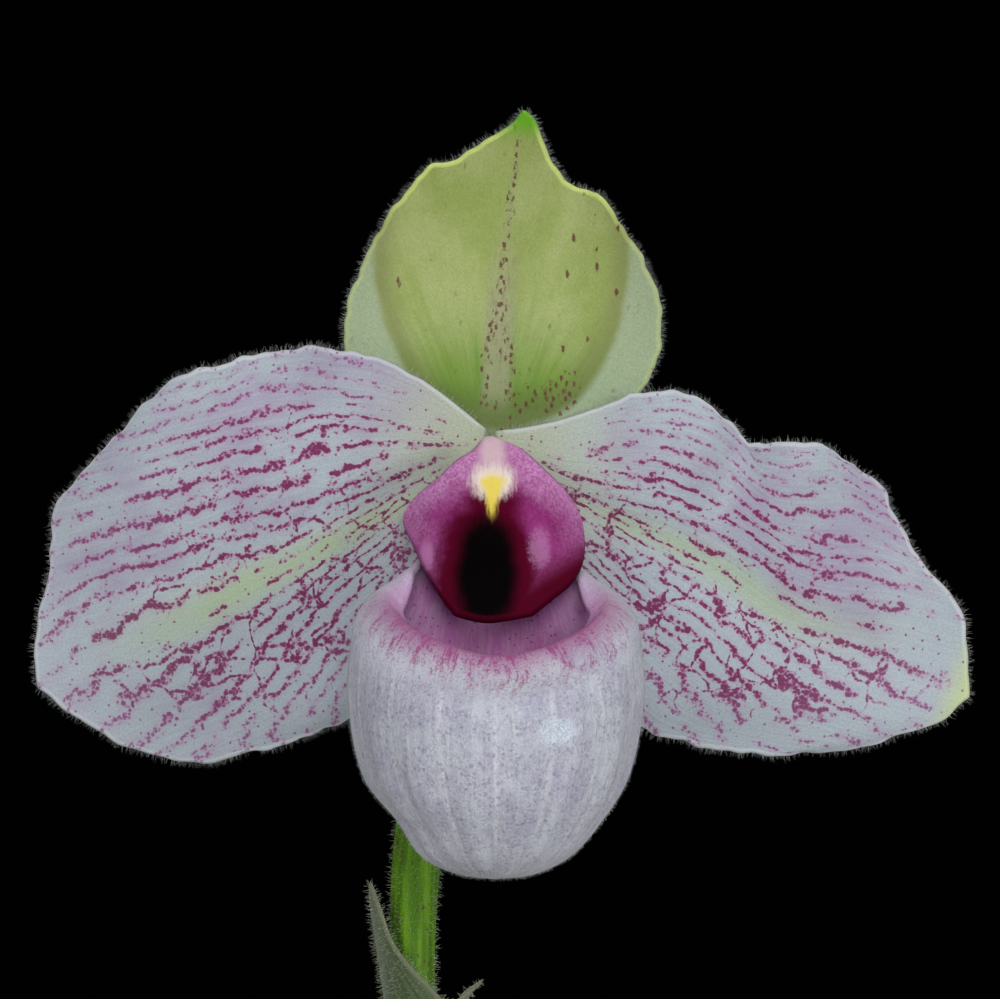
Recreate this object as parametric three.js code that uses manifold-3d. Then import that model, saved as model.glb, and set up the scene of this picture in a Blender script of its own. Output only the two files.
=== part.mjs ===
// Potted slipper orchid: one open flower on its stalk, a fan of six leaves, bark mix and a clay pot.
// Millimetres, +Z up. The origin is the middle of the pot's base and the flower faces -Y.

import * as THREE from 'three';
import { mergeVertices } from 'three/addons/utils/BufferGeometryUtils.js';
import Module from 'manifold-3d';

const wasm = await Module();
wasm.setup();

// Pot
const POT_HEIGHT = 92;
const POT_BASE_RADIUS = 39;
const POT_TOP_RADIUS = 53;
const POT_WALL = 5;
const POT_FLOOR = 6;
const COLLAR_HEIGHT = 19;
const COLLAR_DEPTH = 3.2;
const DRAIN_RADIUS = 5;
const DRAIN_RING = 22;
const DRAIN_COUNT = 3;
const POT_SIDES = 36;

// Bark mix
const BARK_TOP = 78;
const BARK_CHIPS = 52;
const CHIP_LENGTH = 16;
const CHIP_WIDTH = 11;
const CHIP_HEIGHT = 7;
const ROOT_DEPTH = 14;
const GAP = 0.3;

// Flower, measured from the point where petals and sepals meet
const FLOWER = new THREE.Vector3(7, -12, 297);
const BLADE = 0.8;
const SEPAL_LAYER = -0.75;
const PETAL_LAYER = -1.85;
const PETAL_REFLEX = 0.0022;
const POUCH_WALL = 0.9;
const SHIELD_THICKNESS = 1.4;
const BRACT_THICKNESS = 0.65;

// Leaves
const LEAF_THICKNESS = 1.2;
const LEAF_PITCH = LEAF_THICKNESS + GAP;
const STALK_RADIUS = 2.6;
const SHEATH_ANGLE = THREE.MathUtils.degToRad(76);
const BLADE_ANGLE = THREE.MathUtils.degToRad(24);
const LEAF_SHEATHS = 3;
const CROWN_RADIUS = STALK_RADIUS + 0.05 + LEAF_SHEATHS * LEAF_PITCH;

const { clamp, degToRad, lerp, smoothstep } = THREE.MathUtils;

function vec(x, y, z) {
  return new THREE.Vector3(x, y, z);
}

// A small generator of repeatable numbers from 0 to 1
function seeded(seed) {
  let state = seed;
  return () => {
    state = (state * 1664525 + 1013904223) % 4294967296;
    return state / 4294967296;
  };
}

function curve(points) {
  return new THREE.CatmullRomCurve3(points, false, 'centripetal');
}

// An outline in the flower's own plane, from [x, z] pairs
function outline(...pairs) {
  return curve(pairs.map(([x, z]) => vec(x, 0, z)));
}

// Two curves end to end as one function of 0 to 1, meeting at the share given
function joined(first, second, share) {
  return (t) => {
    if (t <= share) return first.getPointAt(t / share);
    return second.getPointAt(Math.min(1, (t - share) / (1 - share)));
  };
}

function indexedGeometry(points, index) {
  const geometry = new THREE.BufferGeometry();
  geometry.setFromPoints(points);
  geometry.setIndex(index);
  return geometry;
}

// Faces of a lattice of quads, each cut along the same diagonal, and its reversed twin
function quad(index, a, b, c, d) {
  index.push(a, b, c, a, c, d);
}

// A closed blade round the middle surface point(u, v), of equal triangles on both faces
function blade(point, rows, columns, thickness) {
  const middle = [];
  for (let i = 0; i <= rows; i += 1) {
    for (let j = 0; j <= columns; j += 1) {
      middle.push(point(i / rows, j / columns));
    }
  }
  const at = (i, j) => clamp(i, 0, rows) * (columns + 1) + clamp(j, 0, columns);
  const points = [];
  for (const side of [0.5, -0.5]) {
    for (let i = 0; i <= rows; i += 1) {
      for (let j = 0; j <= columns; j += 1) {
        const along = middle[at(i + 1, j)].clone().sub(middle[at(i - 1, j)]);
        const across = middle[at(i, j + 1)].clone().sub(middle[at(i, j - 1)]);
        const normal = along.cross(across).normalize();
        points.push(middle[at(i, j)].clone().addScaledVector(normal, side * thickness));
      }
    }
  }
  const back = (rows + 1) * (columns + 1);
  const index = [];
  for (let i = 0; i < rows; i += 1) {
    for (let j = 0; j < columns; j += 1) {
      const [a, b, c, d] = [at(i, j), at(i + 1, j), at(i + 1, j + 1), at(i, j + 1)];
      index.push(a, b, c, a, c, d);
      index.push(a + back, c + back, b + back, a + back, d + back, c + back);
    }
    const [a, b] = [at(i, 0), at(i + 1, 0)];
    quad(index, b, a, a + back, b + back);
    const [d, c] = [at(i, columns), at(i + 1, columns)];
    quad(index, d, c, c + back, d + back);
  }
  for (let j = 0; j < columns; j += 1) {
    const [a, d] = [at(0, j), at(0, j + 1)];
    quad(index, a, d, d + back, a + back);
    const [b, c] = [at(rows, j), at(rows, j + 1)];
    quad(index, c, b, b + back, c + back);
  }
  return indexedGeometry(points, index);
}

// A hollow cup whose wall lies inside the surface point(turn, rise), from its pole at rise 0
function cup(point, rows, columns, wall) {
  const outer = [];
  for (let i = 0; i <= rows; i += 1) {
    for (let j = 0; j < columns; j += 1) {
      outer.push(point(j / columns, i / rows));
    }
  }
  const at = (i, j) => clamp(i, 0, rows) * columns + (j + columns) % columns;
  const points = [outer[0].clone(), outer[0].clone().add(vec(0, 0, wall))];
  const inner = rows * columns;
  for (const depth of [0, wall]) {
    for (let i = 1; i <= rows; i += 1) {
      for (let j = 0; j < columns; j += 1) {
        const around = outer[at(i, j + 1)].clone().sub(outer[at(i, j - 1)]);
        const upward = outer[at(i + 1, j)].clone().sub(outer[at(i - 1, j)]);
        const normal = around.cross(upward).normalize();
        points.push(outer[at(i, j)].clone().addScaledVector(normal, -depth));
      }
    }
  }
  const id = (i, j) => 2 + (i - 1) * columns + (j % columns);
  const index = [];
  for (let j = 0; j < columns; j += 1) {
    index.push(0, id(1, j + 1), id(1, j));
    index.push(1, inner + id(1, j), inner + id(1, j + 1));
    for (let i = 1; i < rows; i += 1) {
      const [a, b, c, d] = [id(i, j), id(i, j + 1), id(i + 1, j + 1), id(i + 1, j)];
      index.push(a, b, c, a, c, d);
      index.push(a + inner, c + inner, b + inner, a + inner, d + inner, c + inner);
    }
    quad(index, id(rows, j), id(rows, j + 1), inner + id(rows, j + 1), inner + id(rows, j));
  }
  return indexedGeometry(points, index);
}

// A solid limb along a curve, closed at both ends, with the radius given by radius(t, angle)
function limb(path, steps, sides, radius) {
  const frames = path.computeFrenetFrames(steps, false);
  const points = [path.getPointAt(0), path.getPointAt(1)];
  for (let i = 0; i <= steps; i += 1) {
    const t = i / steps;
    for (let j = 0; j < sides; j += 1) {
      const angle = j / sides * Math.PI * 2;
      const reach = radius(t, angle);
      const point = path.getPointAt(t);
      point.addScaledVector(frames.normals[i], reach * Math.cos(angle));
      point.addScaledVector(frames.binormals[i], reach * Math.sin(angle));
      points.push(point);
    }
  }
  const id = (i, j) => 2 + i * sides + (j % sides);
  const index = [];
  for (let j = 0; j < sides; j += 1) {
    index.push(0, id(0, j + 1), id(0, j));
    index.push(1, id(steps, j), id(steps, j + 1));
    for (let i = 0; i < steps; i += 1) {
      quad(index, id(i, j), id(i, j + 1), id(i + 1, j + 1), id(i + 1, j));
    }
  }
  return indexedGeometry(points, index);
}

// A lathe's profile of [radius, height] pairs turned about +Z
function turned(pairs, sides) {
  const profile = pairs.map(([radius, height]) => new THREE.Vector2(radius, height));
  const geometry = new THREE.LatheGeometry(profile, sides);
  geometry.rotateX(Math.PI / 2);
  return geometry;
}

function solid(geometry) {
  const bare = geometry.clone();
  bare.deleteAttribute('normal');
  bare.deleteAttribute('uv');
  const merged = mergeVertices(bare, 1e-4);
  return new wasm.Manifold(new wasm.Mesh({
    numProp: 3,
    vertProperties: Float32Array.from(merged.attributes.position.array),
    triVerts: Uint32Array.from(merged.index.array),
  }));
}

function surface(body) {
  const mesh = body.getMesh();
  const geometry = new THREE.BufferGeometry();
  geometry.setAttribute('position', new THREE.BufferAttribute(mesh.vertProperties, 3));
  geometry.setIndex(new THREE.BufferAttribute(mesh.triVerts, 1));
  return geometry;
}

function material(color, roughness) {
  return new THREE.MeshStandardMaterial({ color, roughness, metalness: 0, side: THREE.DoubleSide });
}

const looks = {
  clay: material(0xb5653f, 0.85),
  bark: material(0x5b3d26, 0.95),
  leaf: material(0x3f6b34, 0.5),
  stalk: material(0x5c8a2a, 0.6),
  bract: material(0x7a8f6a, 0.7),
  sepal: material(0xb9c67a, 0.55),
  petal: material(0xc9bfd0, 0.55),
  pouch: material(0xd8d2e2, 0.4),
  shield: material(0x6a1244, 0.3),
};

const orchid = new THREE.Group();
const flower = new THREE.Group();
flower.position.copy(FLOWER);
orchid.add(flower);

function place(parent, name, geometry, look) {
  const mesh = new THREE.Mesh(geometry, look);
  mesh.name = name;
  parent.add(mesh);
}

// Pot: a tapered clay pot with a rolled collar and drain holes clear of its middle
function insideRadius(height) {
  const share = (height - POT_FLOOR) / (POT_HEIGHT - POT_FLOOR);
  return lerp(POT_BASE_RADIUS - POT_WALL + 1, POT_TOP_RADIUS - POT_WALL, share);
}

function outsideRadius(height) {
  return lerp(POT_BASE_RADIUS, POT_TOP_RADIUS, height / POT_HEIGHT);
}

function makePot() {
  const collarFoot = POT_HEIGHT - COLLAR_HEIGHT;
  const collarRadius = outsideRadius(collarFoot) + COLLAR_DEPTH;
  const lipRadius = POT_TOP_RADIUS + COLLAR_DEPTH;
  const profile = [
    [0, 0],
    [POT_BASE_RADIUS - 1.5, 0],
    [POT_BASE_RADIUS, 1.5],
    [outsideRadius(collarFoot), collarFoot],
    [collarRadius - 0.8, collarFoot + 0.3],
    [collarRadius, collarFoot + 1.5],
    [lipRadius, POT_HEIGHT - 1.8],
    [lipRadius - 1.6, POT_HEIGHT],
    [insideRadius(POT_HEIGHT) + 1.6, POT_HEIGHT],
    [insideRadius(POT_HEIGHT - 1.6), POT_HEIGHT - 1.6],
    [insideRadius(POT_FLOOR + 2), POT_FLOOR + 2],
    [insideRadius(POT_FLOOR) - 2, POT_FLOOR],
    [0, POT_FLOOR],
  ];
  let body = solid(turned(profile, POT_SIDES));
  for (let i = 0; i < DRAIN_COUNT; i += 1) {
    const angle = Math.PI / 2 + i / DRAIN_COUNT * Math.PI * 2;
    const drill = new THREE.CylinderGeometry(DRAIN_RADIUS, DRAIN_RADIUS, POT_FLOOR * 3, 16);
    drill.rotateX(Math.PI / 2);
    drill.translate(DRAIN_RING * Math.cos(angle), DRAIN_RING * Math.sin(angle), POT_FLOOR / 2);
    body = body.subtract(solid(drill));
  }
  return surface(body);
}

place(orchid, 'pot', makePot(), looks.clay);

// Bark mix: it fills the pot, its chips stand out of its top, and the plant's foot has a plain hole
function barkChip(random) {
  const chip = new THREE.BoxGeometry(CHIP_LENGTH, CHIP_WIDTH, CHIP_HEIGHT);
  chip.deleteAttribute('normal');
  chip.deleteAttribute('uv');
  const merged = mergeVertices(chip, 1e-4);
  const position = merged.attributes.position;
  for (let i = 0; i < position.count; i += 1) {
    const squeeze = () => 0.62 + 0.42 * random();
    const root = position.getZ(i) < 0 ? CHIP_HEIGHT : 0;
    position.setXYZ(
      i,
      position.getX(i) * squeeze(),
      position.getY(i) * squeeze(),
      position.getZ(i) * squeeze() - root,
    );
  }
  return merged;
}

function makeBark() {
  const foot = POT_FLOOR + GAP;
  const wall = (height) => insideRadius(height) - GAP - 0.15;
  const body = turned([[0, foot], [wall(foot) - 2, foot], [wall(foot + 3), foot + 3],
    [wall(BARK_TOP), BARK_TOP], [0, BARK_TOP]], POT_SIDES);
  const limit = turned([[0, foot], [wall(foot) - 2, foot], [wall(foot + 3), foot + 3],
    [wall(POT_HEIGHT), POT_HEIGHT], [0, POT_HEIGHT]], POT_SIDES);
  const random = seeded(7);
  const goldenAngle = Math.PI * (3 - Math.sqrt(5));
  let mix = solid(body);
  for (let i = 0; i < BARK_CHIPS; i += 1) {
    const chip = barkChip(random);
    chip.rotateX((random() - 0.5) * 0.7);
    chip.rotateY((random() - 0.5) * 0.7);
    chip.rotateZ(random() * Math.PI);
    const reach = wall(BARK_TOP) * Math.sqrt((i + 1.5) / BARK_CHIPS);
    const angle = i * goldenAngle;
    const height = BARK_TOP - 1.6 + 1.5 * random() + 1.4 * smoothstep(reach, 12, 22);
    chip.translate(reach * Math.cos(angle), reach * Math.sin(angle), height);
    mix = mix.add(solid(chip));
  }
  const holeRadius = CROWN_RADIUS + GAP / Math.cos(Math.PI / 24);
  const hole = new THREE.CylinderGeometry(holeRadius, holeRadius, ROOT_DEPTH * 4, 24);
  hole.rotateX(Math.PI / 2);
  hole.translate(0, 0, BARK_TOP + ROOT_DEPTH);
  return surface(mix.intersect(solid(limit)).subtract(solid(hole)));
}

place(orchid, 'bark_mix', makeBark(), looks.bark);

// Leaves and bracts: a clasping foot that opens into a shallow keeled blade along its spine
function claspingBlade(spine, side, width, angle, ripple, rows, columns, thickness) {
  return blade((s, v) => {
    const across = 2 * v - 1;
    const tangent = spine.getTangentAt(s);
    const left = side.clone().addScaledVector(tangent, -side.dot(tangent)).normalize();
    const upper = tangent.clone().cross(left);
    const bend = angle(s);
    const bow = width(s) / bend;
    const point = spine.getPointAt(s);
    point.addScaledVector(left, bow * Math.sin(bend * across));
    point.addScaledVector(upper, bow * (1 - Math.cos(bend * across)) + ripple(s, across));
    return point;
  }, rows, columns, thickness);
}

// rank 0 is the outermost pair, low and arching; rank 2 the innermost, steep
function makeLeaf({ rank, facing, length, rise, sway, breadth }) {
  const foot = BARK_TOP - ROOT_DEPTH + GAP;
  const sheathRadius = CROWN_RADIUS - LEAF_PITCH * (rank + 0.5) + GAP / 2;
  const collar = foot + ROOT_DEPTH + 11 + 5 * rank;
  const turn = (out, height, drift) => vec(facing * (sheathRadius + out), drift, height);
  const lean = rise;
  const points = [
    turn(0, foot, 0),
    turn(0, collar - 10, 0),
    turn(0.5, collar, 0),
    turn(length * 0.07 * Math.cos(lean) + 2, collar + length * 0.14, sway * 0.03),
    turn(length * 0.36 * Math.cos(lean), collar + length * (0.2 + 0.28 * Math.sin(lean)), sway * 0.22),
    turn(length * 0.72 * Math.cos(lean), collar + length * (0.1 + 0.6 * Math.sin(lean)), sway * 0.62),
    turn(length * Math.cos(lean), collar + length * (-0.08 + 0.78 * Math.sin(lean)), sway),
  ];
  const spine = curve(points);
  const total = spine.getLength();
  const open = (collar - foot) / total;
  const sheathWidth = sheathRadius * SHEATH_ANGLE;
  const width = (s) => {
    const along = clamp((s - open) / (1 - open), 0, 1);
    const taper = Math.pow(1 - Math.pow(clamp((along - 0.45) / 0.55, 0, 1), 2.4), 0.62);
    const full = breadth / 2 * lerp(0.7, 1, smoothstep(along, 0.1, 0.5)) * taper + 0.6;
    return lerp(sheathWidth, full, smoothstep(along, 0.02, 0.3));
  };
  const angle = (s) => {
    const along = clamp((s - open) / (1 - open), 0, 1);
    return lerp(SHEATH_ANGLE, BLADE_ANGLE, smoothstep(along, 0.02, 0.32));
  };
  const ripple = (s, across) => {
    const along = clamp((s - open) / (1 - open), 0, 1);
    const wave = Math.sin(along * 13 + rank * 2 + facing) * across * across;
    return 0.9 * wave * smoothstep(along, 0.25, 0.5);
  };
  return claspingBlade(spine, vec(0, facing, 0), width, angle, ripple, 16, 6, LEAF_THICKNESS);
}

const leaves = [
  { rank: 0, facing: 1, length: 122, rise: degToRad(12), sway: -34, breadth: 38 },
  { rank: 0, facing: -1, length: 128, rise: degToRad(9), sway: 30, breadth: 40 },
  { rank: 1, facing: 1, length: 118, rise: degToRad(34), sway: 30, breadth: 38 },
  { rank: 1, facing: -1, length: 112, rise: degToRad(38), sway: -28, breadth: 37 },
  { rank: 2, facing: 1, length: 94, rise: degToRad(58), sway: -14, breadth: 32 },
  { rank: 2, facing: -1, length: 84, rise: degToRad(62), sway: 12, breadth: 29 },
];
leaves.forEach((leaf, i) => place(orchid, `leaf_${i + 1}`, makeLeaf(leaf), looks.leaf));

// Flower stalk: the scape rises from the leaves, swells into the ribbed ovary and turns forward
const stalkPath = curve([
  vec(0, 0, BARK_TOP - ROOT_DEPTH + GAP),
  vec(0, 0, 112),
  vec(-0.5, -0.4, 170),
  FLOWER.clone().add(vec(-7.4, 10.6, -72)),
  FLOWER.clone().add(vec(-8.3, 11, -52)),
  FLOWER.clone().add(vec(-7.2, 12, -38)),
  FLOWER.clone().add(vec(-4.6, 11.6, -20)),
  FLOWER.clone().add(vec(-1.4, 8.6, -7)),
  FLOWER.clone().add(vec(0, 4, -2.7)),
  FLOWER.clone().add(vec(0, 1.6, -2.5)),
  FLOWER.clone().add(vec(0, 0, -2.5)),
]);
const RECEPTACLE_RADIUS = 4;
const OVARY_RIBS = 6;

function stalkRadius(t, angle) {
  const scape = lerp(STALK_RADIUS, 2.05, smoothstep(t, 0.15, 0.65));
  const ovary = 0.42 * smoothstep(t, 0.7, 0.79) * (1 - smoothstep(t, 0.86, 0.97));
  const ribs = 0.14 * smoothstep(t, 0.72, 0.78) * (1 - smoothstep(t, 0.92, 0.98));
  const receptacle = (RECEPTACLE_RADIUS - 2.05) * smoothstep(t, 0.965, 0.998);
  return scape + ovary + receptacle + ribs * Math.cos(OVARY_RIBS * angle);
}

place(orchid, 'flower_stalk', limb(stalkPath, 46, 12, stalkRadius), looks.stalk);

// Bracts: each clasps the stalk and its free tip leans away to its own side
function stalkAxis(height) {
  let [low, high] = [0, 1];
  for (let i = 0; i < 30; i += 1) {
    const middle = (low + high) / 2;
    if (stalkPath.getPointAt(middle).z < height) low = middle;
    else high = middle;
  }
  return stalkPath.getPointAt(low);
}

// route holds the spine's distance from the stalk's axis at heights below the flower's middle
function makeBract({ facing, route, wrap, breadth }) {
  const out = vec(Math.cos(facing), Math.sin(facing), 0);
  const side = vec(-out.y, out.x, 0);
  const clasp = route[0][0];
  const points = route.map(([reach, height]) => {
    const axis = stalkAxis(FLOWER.z + height);
    return vec(axis.x, axis.y, FLOWER.z + height).addScaledVector(out, reach);
  });
  const full = clasp * wrap;
  const width = (s) => lerp(full, breadth, smoothstep(s, 0.2, 0.75)) * (1.05 - Math.pow(s, 4));
  const bow = (s) => lerp(clasp, clasp * 2, smoothstep(s, 0.15, 0.6));
  const angle = (s) => width(s) / bow(s);
  return claspingBlade(curve(points), side, width, angle, () => 0, 9, 6, BRACT_THICKNESS);
}

place(orchid, 'bract_upper', makeBract({
  facing: degToRad(207),
  route: [[3, -67], [3, -61], [3.2, -57], [4.1, -52.5], [5.3, -47.7]],
  wrap: 2.2,
  breadth: 2.1,
}), looks.bract);
place(orchid, 'bract_lower', makeBract({
  facing: degToRad(-25),
  route: [[2.75, -80], [2.8, -73], [4.3, -67.5], [4.8, -62], [6, -59.6], [7.8, -58.2]],
  wrap: 2.1,
  breadth: 1.7,
}), looks.bract);

// A blade of the flower from its outline: base, first margin, far edge and second margin
function outlineBlade({ first, second, far, relief, rows, columns, thickness = BLADE }) {
  const point = (u, v) => {
    const [firstStart, secondStart] = [first.getPointAt(0), second.getPointAt(0)];
    const spot = first.getPointAt(u).multiplyScalar(1 - v);
    spot.addScaledVector(second.getPointAt(u), v);
    const base = firstStart.clone().lerp(secondStart, v);
    const skew = far(v).sub(far(0).lerp(far(1), v));
    spot.addScaledVector(skew, u);
    spot.add(base.sub(firstStart.clone().lerp(secondStart, v)).multiplyScalar(1 - u));
    spot.y = relief(spot.x, spot.z, u, v);
    return spot;
  };
  return blade(point, rows, columns, thickness);
}

// Dorsal sepal: hooded, with its back bowed behind the petals and its tip bent forward
const sepalLeft = outline(
  [-3, 0.2], [-6.4, 1.9], [-11.2, 4.3], [-14.4, 7.5], [-15.4, 10.7], [-14.9, 14.9],
  [-13.2, 19.2], [-11, 23.4], [-7.7, 27.7],
);
const sepalRight = outline(
  [3, 0.2], [7.5, 1.6], [14.9, 4.3], [17, 6.9], [18.1, 11.2], [17.9, 14.9],
  [16.2, 19.2], [13.5, 23.4], [11.5, 26.3],
);
const sepalTip = joined(
  outline([-7.7, 27.7], [-6.2, 29], [-3.3, 29.9], [-0.1, 31.9], [2.1, 33.3], [3.6, 34.8]),
  outline([3.6, 34.8], [4.6, 33.7], [5.5, 31.7], [6.7, 29.3], [8.6, 27], [11.5, 26.3]),
  7 / 12,
);

function sepalRelief(x, z) {
  const height = clamp(z / 34.8, 0, 1);
  const bow = 4.2 * Math.sin(Math.PI * height / 1.15) * smoothstep(height, 0.03, 0.12);
  const spine = SEPAL_LAYER + bow - 6 * Math.pow(height, 4);
  const off = x - 3.6 * height;
  return spine - 0.033 * Math.pow(height, 1.3) * off * off + 0.25 * Math.cos(off * 0.9) * height;
}

place(flower, 'dorsal_sepal', outlineBlade({
  first: sepalRight, second: sepalLeft, far: (t) => sepalTip(1 - t), relief: sepalRelief,
  rows: 14, columns: 12,
}), looks.sepal);

// Synsepal: the two lower sepals grown into one, behind the pouch and in front of the ovary
const synsepalLeft = outline([-3, -4.8], [-7.5, -8], [-11.5, -14], [-12.4, -20], [-8.6, -26.5]);
const synsepalRight = outline([3, -4.8], [7.9, -8], [12, -14], [12.8, -20], [9, -26.5]);
const synsepalTip = joined(
  outline([-8.6, -26.5], [-4.5, -29], [0.6, -30.6]),
  outline([0.6, -30.6], [5.2, -29], [9, -26.5]),
  0.5,
);

function synsepalRelief(x, z) {
  const reach = x * x + z * z;
  return SEPAL_LAYER + 0.0062 * reach - 0.2 * smoothstep(Math.abs(z), 6, 14) * Math.cos(x * 0.7);
}

place(flower, 'synsepal', outlineBlade({
  first: synsepalLeft, second: synsepalRight, far: synsepalTip, relief: synsepalRelief,
  rows: 10, columns: 8,
}), looks.sepal);

// Petals: broad, reflexed a little, with waved margins; the right one is folded at its notch
const leftUpper = outline(
  [-0.6, 1.1], [-3, 3.1], [-5.3, 4.9], [-9.6, 7.6], [-14.9, 9.3], [-20.2, 9.7],
  [-25.6, 8.8], [-29.3, 7.8], [-34, 6.4],
);
const leftLower = outline(
  [-1.95, -3.6], [-2.2, -6.9], [-3, -10.7], [-5.3, -16.2], [-8.5, -21.3], [-11.7, -25.6],
  [-15.5, -29.6], [-20.6, -31.8], [-25.6, -33.2],
);
const leftTip = joined(
  outline([-34, 6.4], [-38.3, 2.1], [-42.1, -2.1], [-46, -6.4], [-46.9, -10.5], [-47.2, -14.9],
    [-48.8, -21.8], [-48.2, -26.3]),
  outline([-48.2, -26.3], [-44, -29.7], [-39.9, -31.9], [-36.2, -33.4], [-30.9, -34.2],
    [-25.6, -33.2]),
  7 / 12,
);
const rightUpper = outline(
  [0.7, 0.8], [4.3, 1.3], [7.5, 2], [11.7, 3.4], [17, 5.1], [20.2, 4.9], [22.9, 4],
  [26.1, 1.1], [27.7, -0.3], [31.9, -0.4], [34.3, -0.3], [38.9, -2.8],
);
const rightLower = outline(
  [1.95, -3.6], [2.2, -6.4], [3.2, -10.7], [5.9, -16.5], [8.5, -21.3], [11.7, -26.1],
  [15.5, -30], [19.8, -31.8], [27.7, -33.3], [33, -33.4],
);
const rightTip = joined(
  outline([38.9, -2.8], [41.4, -4.7], [43.5, -8.5], [45.8, -12.8], [49.6, -17], [50.9, -21.8],
    [51.2, -27.4]),
  outline([51.2, -27.4], [47.8, -29.9], [42.5, -31.9], [38.3, -32.9], [33, -33.4]),
  7 / 12,
);

// How near a point lies to the blade's margin, from 0 inside to 1 at the edge
function marginShare(u, v) {
  return Math.max(Math.pow(Math.abs(2 * v - 1), 4), Math.pow(u, 6));
}

function petalRelief(x, z, u, v, phase) {
  const reach = x * x + z * z;
  const rib = Math.abs(2 * v - 1.02);
  const channel = 0.7 * Math.exp(-rib * rib * 30) * smoothstep(u, 0.1, 0.3);
  const wave = Math.sin(u * 15 + v * 5 + phase) * marginShare(u, v) * smoothstep(u, 0.15, 0.5);
  const swell = 0.5 * Math.sin(u * 7 + v * 9 + phase) * smoothstep(u, 0.25, 0.6);
  return PETAL_LAYER + PETAL_REFLEX * reach + channel - 0.9 * wave - swell;
}

// The fold runs from the notch towards the petal's middle
const NOTCH = { x: 27.7, z: -0.3, toX: 20.5, toZ: -15, depth: 1.9, spread: 3 };

function notchFold(x, z) {
  const run = Math.hypot(NOTCH.toX - NOTCH.x, NOTCH.toZ - NOTCH.z);
  const [alongX, alongZ] = [(NOTCH.toX - NOTCH.x) / run, (NOTCH.toZ - NOTCH.z) / run];
  const along = (x - NOTCH.x) * alongX + (z - NOTCH.z) * alongZ;
  const off = ((x - NOTCH.x) * alongZ - (z - NOTCH.z) * alongX) / NOTCH.spread;
  const valley = Math.exp(-off * off) - 0.35 * Math.exp(-Math.pow(Math.abs(off) - 2, 2));
  return NOTCH.depth * valley * (1 - smoothstep(along, 2, run));
}

place(flower, 'petal_left', outlineBlade({
  first: leftUpper, second: leftLower, far: leftTip, rows: 19, columns: 12,
  relief: (x, z, u, v) => petalRelief(x, z, u, v, 0.6),
}), looks.petal);
place(flower, 'petal_right', outlineBlade({
  first: rightLower, second: rightUpper, far: (t) => rightTip(1 - t), rows: 19, columns: 12,
  relief: (x, z, u, v) => petalRelief(x, z, u, 1 - v, 2.3) + notchFold(x, z),
}), looks.petal);

// Pouch: meridians climb from its low pole over the belly to a rolled rim, low in front
const POUCH = {
  x: 0.65, back: -3.2, front: -33, belly: -26.9, bottom: -45.9, halfWidth: 15.5,
};
const rimLoop = new THREE.CatmullRomCurve3([
  vec(1, -27.4, -22.4),
  vec(9.4, -24, -19.9),
  vec(12.6, -18.4, -16.7),
  vec(10.9, -12, -14.6),
  vec(8.2, -7.4, -12.6),
  vec(5, -4.5, -10),
  vec(2.2, -3.3, -7.8),
  vec(-2, -3.3, -7.8),
  vec(-4.5, -4.5, -9.8),
  vec(-7.3, -7.4, -12.4),
  vec(-9.5, -12, -14.3),
  vec(-11.2, -18.2, -16.4),
  vec(-7.7, -24, -19.8),
], true, 'centripetal');

function pouchPoint(turn, rise) {
  const middle = (POUCH.back + POUCH.front) / 2;
  const depth = (POUCH.back - POUCH.front) / 2;
  const rim = rimLoop.getPointAt(turn);
  const angle = Math.PI * (-0.5 + 2 * turn);
  const round = vec(Math.cos(angle), Math.sin(angle), 0);
  const backShare = smoothstep(round.y, 0.1, 0.95);
  const ring = (share, height) => vec(
    POUCH.x + POUCH.halfWidth * share * round.x,
    middle + depth * share * round.y,
    height,
  );
  const frontShare = smoothstep(-round.y, 0.1, 1);
  const belly = POUCH.belly - 2.4 * frontShare;
  const fall = belly - POUCH.bottom;
  const towards = vec(POUCH.x, -15, rim.z).sub(rim).normalize();
  const shoulder = rim.clone().addScaledVector(towards, lerp(-2.5, -0.3, backShare));
  shoulder.z -= lerp(2, 3, backShare) + 0.5 * frontShare;
  const rollShare = 1 - smoothstep(round.y, -0.7, 0.5);
  const lip = rim.clone().addScaledVector(towards, lerp(0.15, 1.7, rollShare));
  lip.z -= lerp(-0.6, 1.5, rollShare);
  const upperShare = lerp(0.985, 0.97, backShare) - 0.02 * frontShare;
  const meridian = curve([
    vec(POUCH.x, middle, POUCH.bottom),
    ring(0.27, belly - fall * 0.967),
    ring(0.51, belly - fall * 0.865),
    ring(0.71, belly - fall * 0.68),
    ring(0.89, belly - fall * 0.44),
    ring(1, belly),
    ring(upperShare, lerp(belly, shoulder.z, 0.5)),
    shoulder,
    rim,
    lip,
  ]);
  const point = meridian.getPointAt(rise);
  const rib = Math.cos(angle * 10) * Math.sin(Math.PI * Math.min(1, rise * 1.3)) * 0.16;
  point.addScaledVector(round, rib);
  return point;
}

place(flower, 'lip_pouch', cup(pouchPoint, 18, 32, POUCH_WALL), looks.pouch);

// Column: its foot stands on the receptacle and it carries the shield, two anthers and the stigma
const shieldLeft = outline(
  [-0.7, -0.2], [-1.6, -1.3], [-3.2, -2.3], [-5.3, -4.3], [-7.7, -6.4], [-8.9, -8.2],
  [-7.7, -11.2], [-6.4, -13.8], [-4.8, -16.5], [-3.5, -18.2],
);
const shieldRight = outline(
  [0.7, -0.2], [2.7, -0.9], [5.9, -3.7], [8, -5.9], [9.3, -8], [9.7, -10.7],
  [9.4, -13], [8.3, -14.9], [6.4, -16.5], [4.3, -18.2],
);
const shieldFoot = outline([-3.5, -18.2], [-2.1, -18.6], [-0.3, -18.9], [1.6, -18.7], [4.3, -18.2]);

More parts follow.
